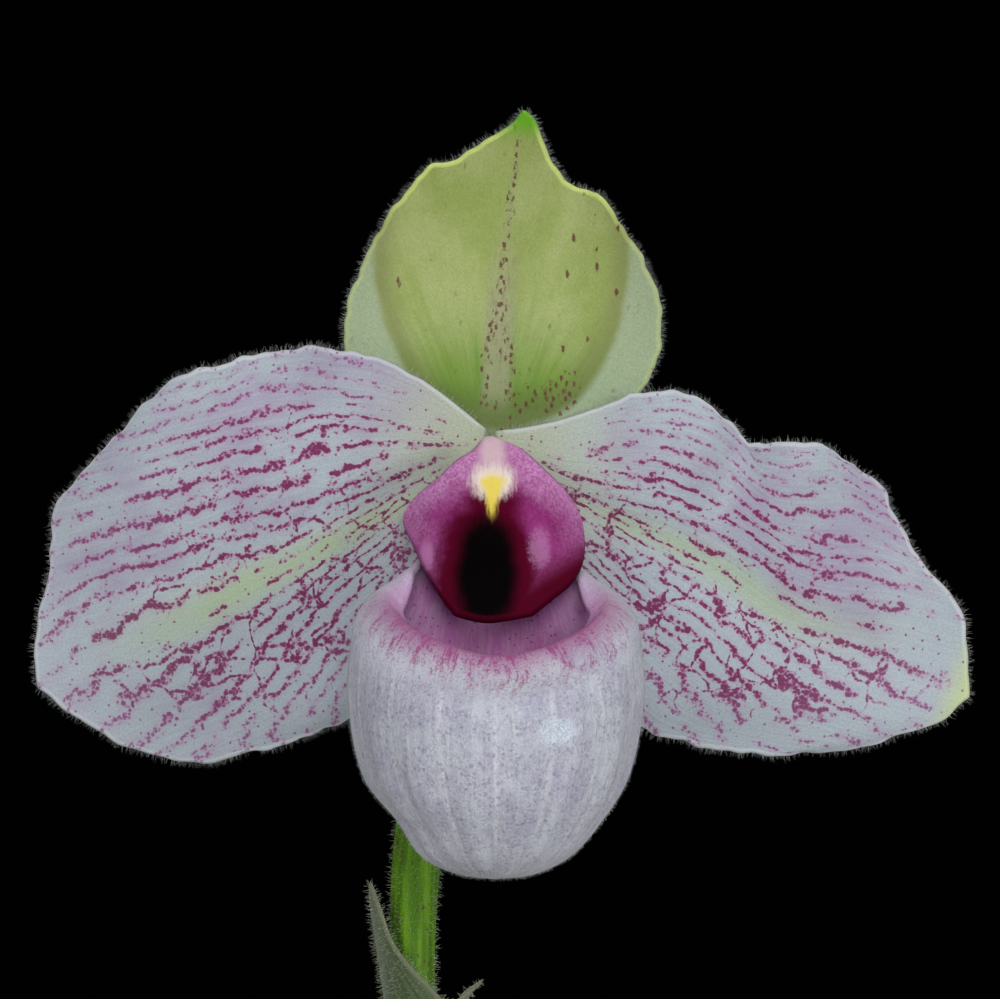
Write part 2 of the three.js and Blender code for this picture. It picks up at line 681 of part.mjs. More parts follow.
function shieldRelief(x, z) {
  const drop = clamp(-z / 18.9, 0, 1);
  const spine = lerp(-5.8, -15.2, Math.pow(drop, 0.55));
  const off = x - 0.3;
  const furrow = 0.7 * Math.exp(-off * off / 9) * smoothstep(drop, 0.3, 0.6);
  const recurve = smoothstep(drop, 0.02, 0.4) * (1 - 0.45 * smoothstep(drop, 0.45, 0.75));
  return spine + 0.055 * off * off * recurve + furrow;
}

function ball(radiusX, radiusY, radiusZ, x, y, z, tilt) {
  const geometry = new THREE.SphereGeometry(1, 8, 6);
  geometry.scale(radiusX, radiusY, radiusZ);
  geometry.rotateX(tilt);
  geometry.translate(x, y, z);
  return solid(geometry);
}

function makeColumn() {
  const shield = outlineBlade({
    first: shieldLeft, second: shieldRight, far: (t) => shieldFoot.getPointAt(t),
    relief: shieldRelief, rows: 11, columns: 10, thickness: SHIELD_THICKNESS,
  });
  const trunk = limb(
    curve([vec(0, -GAP, -3), vec(0, -3.4, -2.8), vec(0, -6, -4.2), vec(0.2, -9.8, -8.4)]),
    8, 10, (t) => lerp(1.15, 2.4, smoothstep(t, 0.28, 0.62)),
  );
  return surface(solid(trunk)
    .add(solid(shield))
    .add(ball(1.2, 1.7, 1.2, -2.7, -7.2, -6.4, 0.5))
    .add(ball(1.2, 1.7, 1.2, 3, -7.2, -6.4, 0.5))
    .add(ball(2.3, 2.5, 1.3, 0.2, -8.3, -9.4, 0.7)));
}

place(flower, 'column_shield', makeColumn(), looks.shield);

export default orchid;
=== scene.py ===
"""Potted slipper orchid: the finished flower, stalk, leaves, bark and pot round their frame."""

import math

import bpy
import numpy as np
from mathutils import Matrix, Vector


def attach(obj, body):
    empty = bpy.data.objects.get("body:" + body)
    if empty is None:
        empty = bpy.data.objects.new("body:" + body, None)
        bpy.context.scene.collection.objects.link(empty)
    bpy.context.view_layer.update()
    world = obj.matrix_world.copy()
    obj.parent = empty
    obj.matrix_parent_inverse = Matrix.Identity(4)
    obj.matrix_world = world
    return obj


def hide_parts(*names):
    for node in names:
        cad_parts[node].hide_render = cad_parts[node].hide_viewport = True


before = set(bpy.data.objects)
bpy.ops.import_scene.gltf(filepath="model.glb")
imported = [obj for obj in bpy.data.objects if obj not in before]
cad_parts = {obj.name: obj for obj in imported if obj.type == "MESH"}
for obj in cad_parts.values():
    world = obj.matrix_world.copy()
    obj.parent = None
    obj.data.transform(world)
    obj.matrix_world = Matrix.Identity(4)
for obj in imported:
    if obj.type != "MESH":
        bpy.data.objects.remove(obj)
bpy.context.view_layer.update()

bl_info = {
    "name": "Potted slipper orchid",
    "version": (1, 0, 0),
    "blender": (4, 5, 0),
    "location": "3D View > Sidebar > Orchid",
    "description":
        "Dresses the frame of a potted slipper orchid with its flower, leaves, bark and pot",
    "category": "Add Mesh",
}

MM = 0.001

# The frame's own sizes, in millimetres
FLOWER = np.array([7.0, -12.0, 297.0])
BLADE = 0.8
SEPAL_LAYER = -0.75
PETAL_LAYER = -1.85
PETAL_REFLEX = 0.0022
POUCH_WALL = 0.9
SHIELD_THICKNESS = 1.4
BRACT_THICKNESS = 0.65
LEAF_THICKNESS = 1.2
GAP = 0.3
LEAF_PITCH = LEAF_THICKNESS + GAP
STALK_RADIUS = 2.6
SHEATH_ANGLE = math.radians(76)
BLADE_ANGLE = math.radians(24)
CROWN_RADIUS = STALK_RADIUS + 0.05 + 3 * LEAF_PITCH
BARK_TOP = 78.0
ROOT_DEPTH = 14.0
POT_HEIGHT = 92.0
POT_BASE_RADIUS = 39.0
POT_TOP_RADIUS = 53.0
POT_WALL = 5.0
POT_FLOOR = 6.0
COLLAR_HEIGHT = 19.0
COLLAR_DEPTH = 3.2
DRAIN_RADIUS = 5.0
DRAIN_RING = 22.0
DRAIN_COUNT = 3


def paint(red, green, blue):
    """A colour of 0 to 255 as seen on a screen, as the linear colour that a node takes."""
    shares = [channel / 255 for channel in (red, green, blue)]
    return tuple(s / 12.92 if s <= 0.04045 else ((s + 0.055) / 1.055) ** 2.4 for s in shares)


def smooth(value, low, high):
    """0 below low, 1 above high and an even ease between them."""
    share = np.clip((value - low) / (high - low), 0, 1)
    return share * share * (3 - 2 * share)


def lerp(start, end, share):
    return start + (end - start) * share


def unit(vectors):
    return vectors / np.maximum(np.linalg.norm(vectors, axis=-1, keepdims=True), 1e-9)


class Curve:
    """A smooth curve through points, walked by its own length from 0 to 1."""

    STEPS = 32

    def __init__(self, points, closed=False):
        knots = np.asarray(points, float)
        if closed:
            sets = [np.roll(knots, shift, axis=0) for shift in (1, 0, -1, -2)]
        else:
            ends = [2 * knots[0] - knots[1], 2 * knots[-1] - knots[-2]]
            longer = np.vstack([ends[:1], knots, ends[1:]])
            count = len(knots) - 1
            sets = [longer[k:k + count] for k in range(4)]
        before, start, end, after = sets
        gaps = [
            np.sqrt(np.linalg.norm(b - a, axis=1))[:, None]
            for a, b in ((before, start), (start, end), (end, after))
        ]
        leave = (start - before) / gaps[0] - (end - before) / (gaps[0] + gaps[1])
        leave = (leave + (end - start) / gaps[1]) * gaps[1]
        arrive = (end - start) / gaps[1] - (after - start) / (gaps[1] + gaps[2])
        arrive = (arrive + (after - end) / gaps[2]) * gaps[1]
        t = (np.arange(self.STEPS) / self.STEPS)[None, :, None]
        start, end, leave, arrive = (part[:, None, :] for part in (start, end, leave, arrive))
        walked = (
            start * (2 * t**3 - 3 * t**2 + 1) + leave * (t**3 - 2 * t**2 + t)
            + end * (3 * t**2 - 2 * t**3) + arrive * (t**3 - t**2)
        )
        last = knots[0] if closed else knots[-1]
        self.samples = np.vstack([walked.reshape(-1, knots.shape[1]), last])
        steps = np.linalg.norm(np.diff(self.samples, axis=0), axis=1)
        walked_length = np.concatenate([[0], np.cumsum(steps)])
        self.length = walked_length[-1]
        self.shares = walked_length / self.length

    def at(self, share):
        share = np.clip(share, 0, 1)
        axes = range(self.samples.shape[1])
        return np.stack([np.interp(share, self.shares, self.samples[:, k]) for k in axes], axis=-1)

    def tangent(self, share):
        return unit(self.at(share + 0.004) - self.at(share - 0.004))

    def knot_share(self, index):
        return self.shares[index * self.STEPS]


def outline(*pairs):
    """A curve in the flower's own plane, from (x, z) pairs."""
    return Curve([(x, 0, z) for x, z in pairs])


def joined(first, second, share):
    """Two curves end to end as one function of 0 to 1, meeting at the share given."""
    def walk(t):
        early = first.at(t / share)
        late = second.at((t - share) / (1 - share))
        return np.where((t <= share)[..., None], early, late)
    return walk


def lattice(rows, columns):
    """Two grids of 0 to 1: along the rows and across the columns."""
    return np.meshgrid(np.linspace(0, 1, rows + 1), np.linspace(0, 1, columns + 1), indexing="ij")


# Meshes


def new_object(name, data):
    made = bpy.data.objects.new(name, data)
    bpy.context.scene.collection.objects.link(made)
    return made


def mesh_object(name, points, faces, layers=None):
    """A smooth mesh object from points in millimetres, with one attribute for each layer."""
    mesh = bpy.data.meshes.new(name)
    mesh.from_pydata((points * MM).tolist(), [], faces)
    for key, values in (layers or {}).items():
        kind, field = ("FLOAT_VECTOR", "vector") if values.ndim == 2 else ("FLOAT", "value")
        layer = mesh.attributes.new(key, kind, "POINT")
        layer.data.foreach_set(field, values.astype(np.float32).ravel())
    mesh.shade_smooth()
    return new_object(name, mesh)


def merge_parts(parts):
    """One set of points, faces and layers from several."""
    points, faces, start = [], [], 0
    for part_points, part_faces, _ in parts:
        points.append(part_points)
        faces.extend([tuple(start + k for k in face) for face in part_faces])
        start += len(part_points)
    layers = {key: np.concatenate([part[2][key] for part in parts]) for key in parts[0][2]}
    return np.vstack(points), faces, layers


def blade_parts(middle, thickness):
    """A closed blade round a lattice of middle points, with a rounded margin.

    Layer "lay" holds how far along and across each point is and 1 on the face towards -Y or +Z,
    "edge" its distance from the blade's free margin and "hair" where hairs stand.
    """
    rows, columns = middle.shape[0] - 1, middle.shape[1] - 1
    normal = unit(np.cross(np.gradient(middle, axis=0), np.gradient(middle, axis=1)))
    half = (np.broadcast_to(thickness, middle.shape[:2]) / 2)[..., None]
    front = 1.0 if (normal[..., 2] - normal[..., 1]).mean() > 0 else 0.0
    number = np.arange(middle.shape[0] * middle.shape[1]).reshape(middle.shape[:2])
    loop = np.concatenate([
        number[:-1, 0], number[-1, :-1], number[:0:-1, -1], number[0, :0:-1],
    ])
    flat = middle.reshape(-1, 3)
    path = flat[loop]
    onward = unit(np.roll(path, -1, axis=0) - np.roll(path, 1, axis=0))
    outward = unit(np.cross(onward, normal.reshape(-1, 3)[loop]))
    rim = path + outward * half.reshape(-1, 1)[loop]
    points = np.vstack([(middle + normal * half).reshape(-1, 3),
                        (middle - normal * half).reshape(-1, 3), rim])
    under = number.size
    faces = []
    for i in range(rows):
        for j in range(columns):
            a, b, c, d = number[i, j], number[i + 1, j], number[i + 1, j + 1], number[i, j + 1]
            faces.append((a, b, c, d))
            faces.append((a + under, d + under, c + under, b + under))
    for k in range(len(loop)):
        a, b = loop[k], loop[(k + 1) % len(loop)]
        p, q = 2 * under + k, 2 * under + (k + 1) % len(loop)
        faces.append((b, a, p, q))
        faces.append((q, p, a + under, b + under))
    u, v = lattice(rows, columns)
    free = loop[(u.ravel()[loop] > 0.02)]
    edge = np.full(number.size, 1e3)
    for point in flat[free]:
        edge = np.minimum(edge, np.linalg.norm(flat - point, axis=1))
    spans = np.stack([u.ravel(), v.ravel()], axis=-1)
    lay = np.vstack([
        np.column_stack([spans, np.full(under, front)]),
        np.column_stack([spans, np.full(under, 1 - front)]),
        np.column_stack([spans[loop], np.full(len(loop), 0.5)]),
    ])
    edges = np.concatenate([edge, edge, np.zeros(len(loop))])
    rim_hair = (u.ravel()[loop] > 0.04).astype(float)
    hair = np.concatenate([np.zeros(2 * under), rim_hair])
    return points, faces, {"lay": lay, "edge": edges, "hair": hair}


def tube_faces(rings, sides, first, last):
    """Quads between rings of points, and a fan to the point at each end."""
    faces = []
    for j in range(sides):
        k = (j + 1) % sides
        faces.append((first, k, j))
        faces.append((last, (rings - 1) * sides + j, (rings - 1) * sides + k))
        for i in range(rings - 1):
            faces.append((i * sides + j, i * sides + k, (i + 1) * sides + k, (i + 1) * sides + j))
    return faces


def limb_parts(path, steps, sides, radius):
    """A limb along a curve, rounded at both ends, with its radius from radius(share)."""
    shares = np.linspace(0, 1, steps + 1)
    centres, tangents = path.at(shares), path.tangent(shares)
    side = unit(np.cross(tangents[0], (0.3, 0.1, 0.9)))
    rings = []
    for centre, tangent, share in zip(centres, tangents, shares):
        side = unit(side - tangent * (side @ tangent))
        other = np.cross(tangent, side)
        angles = np.arange(sides) / sides * math.tau
        rings.append(centre + radius(share) * (
            np.cos(angles)[:, None] * side + np.sin(angles)[:, None] * other))
    points = np.vstack(rings + [centres[:1], centres[-1:]])
    return points, tube_faces(steps + 1, sides, len(points) - 2, len(points) - 1), {}


def ball_parts(centre, radii, tilt, rows=20, columns=28):
    """An egg shape, turned about X by tilt."""
    u = np.linspace(0, math.pi, rows + 1)[1:-1, None]
    v = np.arange(columns)[None, :] / columns * math.tau
    shape = np.stack([np.sin(u) * np.cos(v), np.sin(u) * np.sin(v), np.cos(u) + 0 * v], axis=-1)
    points = np.vstack([shape.reshape(-1, 3), (0, 0, 1), (0, 0, -1)]) * radii
    turn = np.array([[1, 0, 0], [0, math.cos(tilt), -math.sin(tilt)],
                     [0, math.sin(tilt), math.cos(tilt)]])
    points = points @ turn.T + centre
    top, bottom = len(points) - 2, len(points) - 1
    faces = []
    for j in range(columns):
        k = (j + 1) % columns
        faces.append((top, j, k))
        faces.append((bottom, (rows - 2) * columns + k, (rows - 2) * columns + j))
        for i in range(rows - 2):
            faces.append((i * columns + j, (i + 1) * columns + j,
                          (i + 1) * columns + k, i * columns + k))
    return points, faces, {}


# Node boards


class Value:
    """A socket of a node board. Arithmetic on one that holds numbers adds Math nodes."""

    def __init__(self, board, socket):
        self.board = board
        self.socket = socket

    def math(self, operation, *others):
        values = dict(enumerate((self,) + others))
        return self.board.node("ShaderNodeMath", {"operation": operation}, values)

    def __add__(self, other):
        return self.math("ADD", other)

    def __sub__(self, other):
        return self.math("SUBTRACT", other)

    def __mul__(self, other):
        return self.math("MULTIPLY", other)

    def __truediv__(self, other):
        return self.math("DIVIDE", other)

    def __pow__(self, other):
        return self.math("POWER", other)

    def __rsub__(self, other):
        return self.board.node("ShaderNodeMath", {"operation": "SUBTRACT"}, {0: other, 1: self})

    __radd__ = __add__
    __rmul__ = __mul__

    def most(self, other):
        return self.math("MAXIMUM", other)

    def least(self, other):
        return self.math("MINIMUM", other)

    def size(self):
        return self.math("ABSOLUTE")

    def ease(self, low, high):
        """0 at low, 1 at high and smooth between them, for low above or below high."""
        settings = {"interpolation_type": "SMOOTHSTEP"}
        if low < high:
            return self.board.node("ShaderNodeMapRange", settings, {0: self, 1: low, 2: high})
        return 1 - self.board.node("ShaderNodeMapRange", settings, {0: self, 1: high, 2: low})


class Board:
    """The nodes of one material or one Geometry Nodes tree."""

    def __init__(self, tree):
        self.tree = tree

    def node(self, kind, settings=None, inputs=None, output=0):
        """Adds a node, its settings first, and returns one of its output sockets."""
        made = self.tree.nodes.new(kind)
        for key, value in (settings or {}).items():
            setattr(made, key, value)
        for key, value in (inputs or {}).items():
            self.feed(made.inputs[key], value)
        return Value(self, made.outputs[output]) if len(made.outputs) else None

    def feed(self, socket, value):
        if isinstance(value, Value):
            self.tree.links.new(value.socket, socket)
        else:
            socket.default_value = value

    def other(self, value, output):
        """Another output of the node that a value comes from."""
        return Value(self, value.socket.node.outputs[output])

    def split(self, vector):
        x = self.node("ShaderNodeSeparateXYZ", None, {0: vector})
        return x, self.other(x, 1), self.other(x, 2)

    def join(self, x, y, z=0.0):
        return self.node("ShaderNodeCombineXYZ", None, {0: x, 1: y, 2: z})


class Finish(Board):
    """One material's board."""

    def __init__(self, name):
        self.material = bpy.data.materials.new(name)
        self.material.use_nodes = True
        super().__init__(self.material.node_tree)
        self.tree.nodes.clear()

    def own(self, name):
        """The piece's own attribute: (vector, number)."""
        vector = self.node("ShaderNodeAttribute", {"attribute_name": name}, output="Vector")
        return vector, self.other(vector, "Fac")

    def place(self, origin=(0.0, 0.0, 0.0)):
        """Object coordinates in millimetres from an origin that is also in millimetres."""
        where = self.node("ShaderNodeTexCoord", None, None, "Object")
        settings = {"vector_type": "POINT"}
        return self.node("ShaderNodeMapping", settings, {
            "Vector": where, "Location": tuple(-k for k in origin), "Scale": (1 / MM,) * 3})

    def noise(self, vector, scale=1.0, detail=2.0, roughness=0.5, distortion=0.0):
        return self.node("ShaderNodeTexNoise", None, {
            "Vector": vector, "Scale": scale, "Detail": detail, "Roughness": roughness,
            "Distortion": distortion})

    def cells(self, vector, scale=1.0, feature="F1", output="Distance", randomness=1.0):
        return self.node("ShaderNodeTexVoronoi", {"feature": feature}, {
            "Vector": vector, "Scale": scale, "Randomness": randomness}, output)

    def picked_cells(self, vector, scale=1.0):
        """How far the nearest cell's middle is, and a number drawn for that cell."""
        distance = self.cells(vector, scale)
        return distance, self.split(self.other(distance, "Color"))[0]

    def mix(self, share, first, second):
        """A blend of two colours."""
        colours = [c + (1.0,) if isinstance(c, tuple) and len(c) == 3 else c
                   for c in (first, second)]
        return self.node("ShaderNodeMix", {"data_type": "RGBA"},
                         {0: share, 6: colours[0], 7: colours[1]}, 2)

    def coats(self, ground, *coats):
        """Lays pairs of (share, colour) over a ground, one after another."""
        for share, tone in coats:
            ground = self.mix(share, ground, tone)
        return ground

    def relief(self, height, depth):
        """A Bump of a height field, depth millimetres high."""
        inputs = {"Height": height, "Distance": depth * MM, "Strength": 1.0}
        return self.node("ShaderNodeBump", None, inputs)

    def surface(self, colour, roughness, normal=None, **constants):
        """Ends the board in a Principled shader, whose constants stand on its own sockets."""
        inputs = {"Base Color": colour, "Roughness": roughness}
        inputs.update({key.replace("_", " "): value for key, value in constants.items()})
        if normal is not None:
            inputs["Normal"] = normal
        shader = self.node("ShaderNodeBsdfPrincipled", None, inputs)
        self.node("ShaderNodeOutputMaterial", None, {"Surface": shader})
        return self.material


# Finishes


def oval(x, z, middle, sharpness):
    """Grows from 0 at an oval's middle. The oval where it is 1 is wider for less sharpness."""
    off, up = x - middle[0], z - middle[1]
    return off * off * sharpness[0] + up * up * sharpness[1]


def vein_lines(board, u, v, drift, cover, count, seed):
    """Lit stretches of wavering veins: 1 on a stretch's line, 0 off it, and a wide halo."""
    tremor = board.noise(board.join(u * 24, v * 20, seed), 1.0, 1.0)
    across = v * count + (drift - 0.5) * 3.2 + (tremor - 0.5) * 0.9
    index = across.math("FLOOR")
    off = (across - index - 0.5).size() * 2
    dash = board.noise(board.join(u * 13 + index * 3.71, index * 7.13, seed), 1.0, 2.0, 0.6)
    lit = (dash + cover - 1.0).ease(-0.05, 0.07)
    return lit * off.ease(0.58, 0.0), off.ease(1.0, 0.1) * lit


# Where each petal's marks lie across it, from 0 at the top, and how strong they are
LEFT_MARKS = {"rib": 0.57, "fan": 0.55, "fan_share": 1.0, "lower_cover": 0.04, "band": 0.45,
              "shift": 0.0}
RIGHT_MARKS = {"rib": 0.5, "fan": 0.5, "fan_share": 0.8, "lower_cover": 0.0, "band": 0.3,
               "shift": 40.0}
FAN_SPREAD = 0.76
BEADS_PER_MM = 2.1


class PetalField:
    """What a petal's marks are laid out by: its own lay and edge, and its place in the flower."""

    def __init__(self, board, marks, mirrored):
        lay, _ = board.own("lay")
        _, self.edge = board.own("edge")
        self.u, self.v, self.front = board.split(lay)
        if mirrored:
            self.v = 1 - self.v
        shift = marks["shift"]
        self.x, _, self.z = board.split(board.place(tuple(FLOWER)))
        self.flat = board.join(self.x, self.z, shift)
        self.rib = (self.v - marks["rib"] + (self.u - 0.6) * 0.04).size()
        self.cloud = board.noise(self.flat, 0.09, 3.0, 0.55)
        self.patch = board.noise(self.flat, 0.3, 1.0)
        self.drift = board.noise(board.join(self.u * 2.6, self.v * 3.2, shift), 1.0, 1.0)
        self.grain = board.noise(self.flat, 3.6, 2.0, 0.6)
        self.inside = self.edge.ease(0.8, 8.0)
        self.lower = self.v.ease(0.42, 0.64)
        self.bare_top = self.u.ease(0.46, 0.2) * self.v.ease(0.3, 0.12)


def petal_rows(board, field, marks, count):
    """Where spots may stand: rows of veins, the net between them and blots. And the rows' halo."""
    u, v, inside, lower = field.u, field.v, field.inside, field.lower
    shift = marks["shift"]
    on_rib = field.rib.ease(0.07, 0.015) * u.ease(0.25, 0.45)
    cover = 0.56 + lower * marks["lower_cover"] + inside * 0.05 + (field.cloud - 0.5) * 0.2
    cover = cover - field.bare_top * 0.16 - on_rib * 0.13 - u.ease(0.14, 0.05) * 0.1
    turn = (field.z * -1).math("ARCTAN2", field.x.size())
    fan = (turn - 0.5) * FAN_SPREAD + marks["fan"]
    rows = v + (fan - v) * lower * marks["fan_share"]
    near, near_halo = vein_lines(board, u, rows, field.drift, cover, count * 0.5, 1.0 + shift)
    far, far_halo = vein_lines(board, u, rows, field.drift, cover, count, 5.0 + shift)
    outward = u.ease(0.22, 0.3)
    vein = near + (far - near) * outward
    halo = near_halo + (far_halo - near_halo) * outward
    net = board.join(field.x + field.patch * 6, field.z + field.drift * 6, 60.0 + shift)
    chosen = (field.patch + lower * 0.06).ease(0.44, 0.54)
    chosen = chosen * (inside * (0.4 + lower)).ease(0.2, 0.6)
    link = board.cells(net, 0.27, "DISTANCE_TO_EDGE").ease(0.1, 0.0) * chosen
    blot_at, blot_pick = board.picked_cells(field.flat, 0.34)
    blot = blot_at.ease(0.3, 0.0) * (blot_pick * inside).ease(0.56, 0.66)
    return vein.most(link.most(blot) * (1 - on_rib)) * (0.62 + inside * 0.38), halo


def petal_dust(board, field):
    """Single fine dots, most of them near the margin."""
    dust_at, dust_pick = board.picked_cells(field.flat, 1.15)
    share = 0.36 + (1 - field.inside) * 0.28 + (field.patch - 0.5) * 0.8
    share = share + field.lower * 0.12 - field.bare_top * 0.1
    dust = (0.17 - dust_at + (field.grain - 0.5) * 0.22).ease(-0.03, 0.07)
    return dust * (share - dust_pick).ease(-0.02, 0.02)


def petal_skin(board, field, settings, marks, streak, velvet, blush):
    """The petal's colour between its spots."""
    u = field.u
    tint = (field.cloud - field.lower * 0.14).ease(0.4, 0.66)
    band = field.rib.ease(0.085, 0.0) * u.ease(0.05, 0.3) * u.ease(0.95, 0.6)
    return board.coats(
        settings.petal_ground,
        (tint, settings.petal_blush),
        (streak.ease(0.35, 0.75) * 0.22, settings.petal_pale),
        (band * (marks["band"] + field.patch * 0.5), settings.petal_band),
        ((1 - u.ease(0.03, 0.42)) * 0.9, settings.petal_heart),
        (blush, settings.petal_halo),
        (velvet.ease(0.36, 0.66) * 0.4, settings.petal_shade),
        (field.edge.ease(0.45, 0.05) * 0.6, settings.petal_pale),
    )


def petal_finish(name, settings, marks, mirrored):
    """Lilac petal with a green midrib band, broken rows of magenta beads and a dusty margin.

    The rows follow the blade above its midrib, and fan out from the flower's middle below it.
    """
    board = Finish(name)
    field = PetalField(board, marks, mirrored)
    reach, halo = petal_rows(board, field, marks, settings.vein_count)
    bead, bead_pick = board.picked_cells(field.flat, BEADS_PER_MM)
    fill = reach * (0.52 + bead_pick * 0.5) + (field.grain - 0.5) * 1.1 - bead
    spots = fill.ease(-0.2, 0.2) * reach.ease(0.02, 0.16)
    core = fill.ease(0.0, 0.42) * reach

    streak = board.noise(board.join(field.u * 4, field.v * 84, 3.0), 1.0, 2.0)
    velvet = board.noise(field.flat, 4.2, 3.0, 0.75)
    blush = (halo * 0.2).most(fill.ease(-0.45, 0.0) * reach.ease(0.0, 0.4) * 0.6)
    ground = petal_skin(board, field, settings, marks, streak, velvet, blush)
    if mirrored:
        yellowed = (field.x - field.z * 0.4).ease(58.0, 62.0)
        ground = board.mix(yellowed * 0.6, ground, settings.sepal_rim)
    rim_tone = (1 - field.inside).most(field.u.ease(0.6, 0.95) * 0.6)
    heart_tone = (field.rib.ease(0.16, 0.0) * 0.6).most(field.u.ease(0.36, 0.1))
    spot_tone = board.coats(
        settings.petal_spot,
        (rim_tone, settings.petal_spot_outer),
        (heart_tone, settings.petal_spot_heart),
        (core * 0.55, settings.petal_spot_core),
    )
    strength = (spots * (0.94 - rim_tone * 0.2)).most(petal_dust(board, field) * 0.85)
    colour = board.mix(strength * (0.5 + field.front * 0.5), ground, spot_tone)
    height = streak * 0.6 + velvet * 0.5 + spots * 0.1
    return board.surface(colour, 0.62, board.relief(height, 0.16), Sheen_Weight=0.12,
                         Sheen_Roughness=0.4, Specular_IOR_Level=0.25)


def sepal_marks(board, x, z, off, grain):
    """Two rows of dots that close into one line, a patch of dots at the foot, and dashes."""
    side = off.size()
    row = side - z.ease(16.0, 8.0) * 1.3
    rows = row.size().ease(0.75, 0.25) * z.ease(2.5, 4.0) * z.ease(31.0, 26.0)
    scatter = z.ease(2.0, 4.0) * (z - off * 0.25).ease(6.2, 4.2) * (off - 1.0).ease(0.0, 1.0)
    scatter = scatter * off.ease(9.5, 8.0)
    thread = side.ease(0.5, 0.1) * z.ease(16.0, 21.0) * z.ease(34.0, 31.0)
    wanted = rows.most(scatter * 0.9).most(side.ease(2.4, 0.4) * z.ease(16.0, 4.0) * 0.45)
    wanted = wanted.most(thread * 0.9)
    dot_at, dot_pick = board.picked_cells(board.join(x * 1.9, z * 1.1, 7.0))
    dots = (0.38 - dot_at + (grain - 0.5) * 1.0).ease(-0.08, 0.16)
    dots = dots * (wanted - dot_pick).ease(-0.03, 0.03)

    dash_at, dash_pick = board.picked_cells(board.join(x * 0.9, z * 0.4, 5.0))
    dashes = (0.2 - dash_at + (grain - 0.5) * 0.25).ease(-0.02, 0.08)
    dash_share = side.ease(4.5, 6.5) * side.ease(13.5, 11.5) * z.ease(9.0, 12.0)
    dash_share = dash_share * z.ease(25.0, 21.0) * (0.3 + x.ease(6.0, 9.0) * 0.35)
    dashes = dashes * (dash_share - dash_pick).ease(-0.02, 0.02)
    smear = board.noise(board.join(x * 2.4, z * 0.5, 9.0), 1.0, 3.0, 0.6).ease(0.5, 0.66)
    smear = smear * side.ease(2.2, 0.6) * z.ease(6.0, 10.0) * z.ease(28.0, 16.0)
    return dots.most(dashes).most(smear * 0.3)


def sepal_finish(name, settings, up):
    """Olive sepal: painted shade in the fold round its bowl and at its foot, minty flanks and rows
    of fine brown dots.

    The marks are laid out in the flower's own millimetres, up is -1 for the sepal that hangs.
    """
    board = Finish(name)
    _, edge = board.own("edge")
    x, _, z = board.split(board.place(tuple(FLOWER)))
    z = z * up
    flat = board.join(x, z, 7.0)
    off = x - 0.6 - z * z * 0.0025
    side = off.size()
    cloud = board.noise(flat, 0.12, 3.0, 0.55)
    grain = board.noise(flat, 4.5, 2.0, 0.7)
    fan = off / (z + 6.0).most(3.0)
    streak = board.noise(board.join(fan * 17, z * 0.09, 3.0), 1.0, 3.0, 0.6)
    foot = (z + (streak - 0.5) * 9 + side * 0.3).ease(18.0, 4.0)
    across = (x - 1.2) / 13.2
    tall = (z - 20.0) / 18.5
    bowl = across * across + tall * tall + (cloud - 0.5) * 0.22
    band = side.ease(2.3, 0.7) * z.ease(2.0, 6.0) * z.ease(25.0, 12.0)
    line = side.ease(0.55, 0.1) * z.ease(14.0, 22.0) * z.ease(34.0, 29.0)
    colour = board.coats(
        settings.sepal_ground,
        ((cloud + streak * 0.3).ease(0.5, 0.8), settings.sepal_light),
        # The foot's own green, deepened as painted shade where the base lies in shadow, then more
        # painted shade, darkest at the very base
        (foot * 0.95, settings.sepal_foot),
        (z.ease(7.5, 2.5) * 0.7, settings.sepal_deep),
        # Painted shade along the fold round the bowl
        (bowl.ease(0.62, 0.96) * bowl.ease(1.2, 1.0) * 0.5, settings.sepal_shadow),
        (bowl.ease(0.98, 1.14) * z.ease(30.0, 17.0) * 0.85, settings.sepal_flank),
        ((band * 0.7).most(line * 0.4), settings.sepal_middle),
        (grain.ease(0.34, 0.7) * 0.28, settings.sepal_shade),
        (edge.ease(0.45, 0.1) * (0.3 + z.ease(22.0, 27.0) * 0.7), settings.sepal_rim),
        (z.ease(31.5, 34.0), settings.sepal_tip),
        (sepal_marks(board, x, z, off, grain) * 0.85, settings.sepal_dot),
    )
    height = streak * 0.7 + grain * 0.5
    return board.surface(colour, 0.55, board.relief(height, 0.2), Sheen_Weight=0.12,
                         Sheen_Roughness=0.4, Specular_IOR_Level=0.3)


class PouchField:
    """What the slipper's marks are laid out by. Grain, fibre and ray run from fine to broad."""

    def __init__(self, board):
        lay, _ = board.own("lay")
        east, north, self.below = board.split(lay)
        self.where = board.place(tuple(FLOWER))
        self.x, self.y, self.z = board.split(self.where)
        sway = board.noise(self.where, 0.3, 1.0) - 0.5
        self.ray = board.noise(
            board.join(east * 8 + sway * 1.4, north * 8 + sway, self.below * 0.16), 1.0, 2.0, 0.6)
        self.fibre = board.noise(
            board.join(east * 42 + sway * 2, north * 42 + sway * 2, self.below * 0.5),
            1.0, 3.0, 0.65)
        self.drape = board.noise(board.join(east * 9, north * 9, self.below * 0.05), 1.0, 2.0)
        self.cloud = board.noise(self.where, 0.2, 3.0)
        self.grain = board.noise(self.where, 3.4, 2.0, 0.6)
        self.crowd = board.noise(self.where, 0.4, 2.0)
        self.frost = board.noise(self.where, 4.6, 2.0, 0.7)
        self.front = north.ease(0.2, -0.7)
        self.low = self.below.ease(4.0, 9.0)


def pouch_freckles(board, field):
    at, pick = board.picked_cells(field.where, 2.1)
    fleck = (0.26 + pick * 0.3 - at + (field.grain - 0.5) * 1.6).ease(-0.2, 0.3)
    blot = board.noise(board.join(field.x, field.y, field.z * 0.7), 1.5, 3.0, 0.7)
    fleck = (fleck * (0.3 + pick * 0.7)).most(blot.ease(0.46, 0.62) * 0.45)
    return fleck * field.crowd.ease(0.28, 0.5) * (0.22 + field.front * field.low * 0.36)


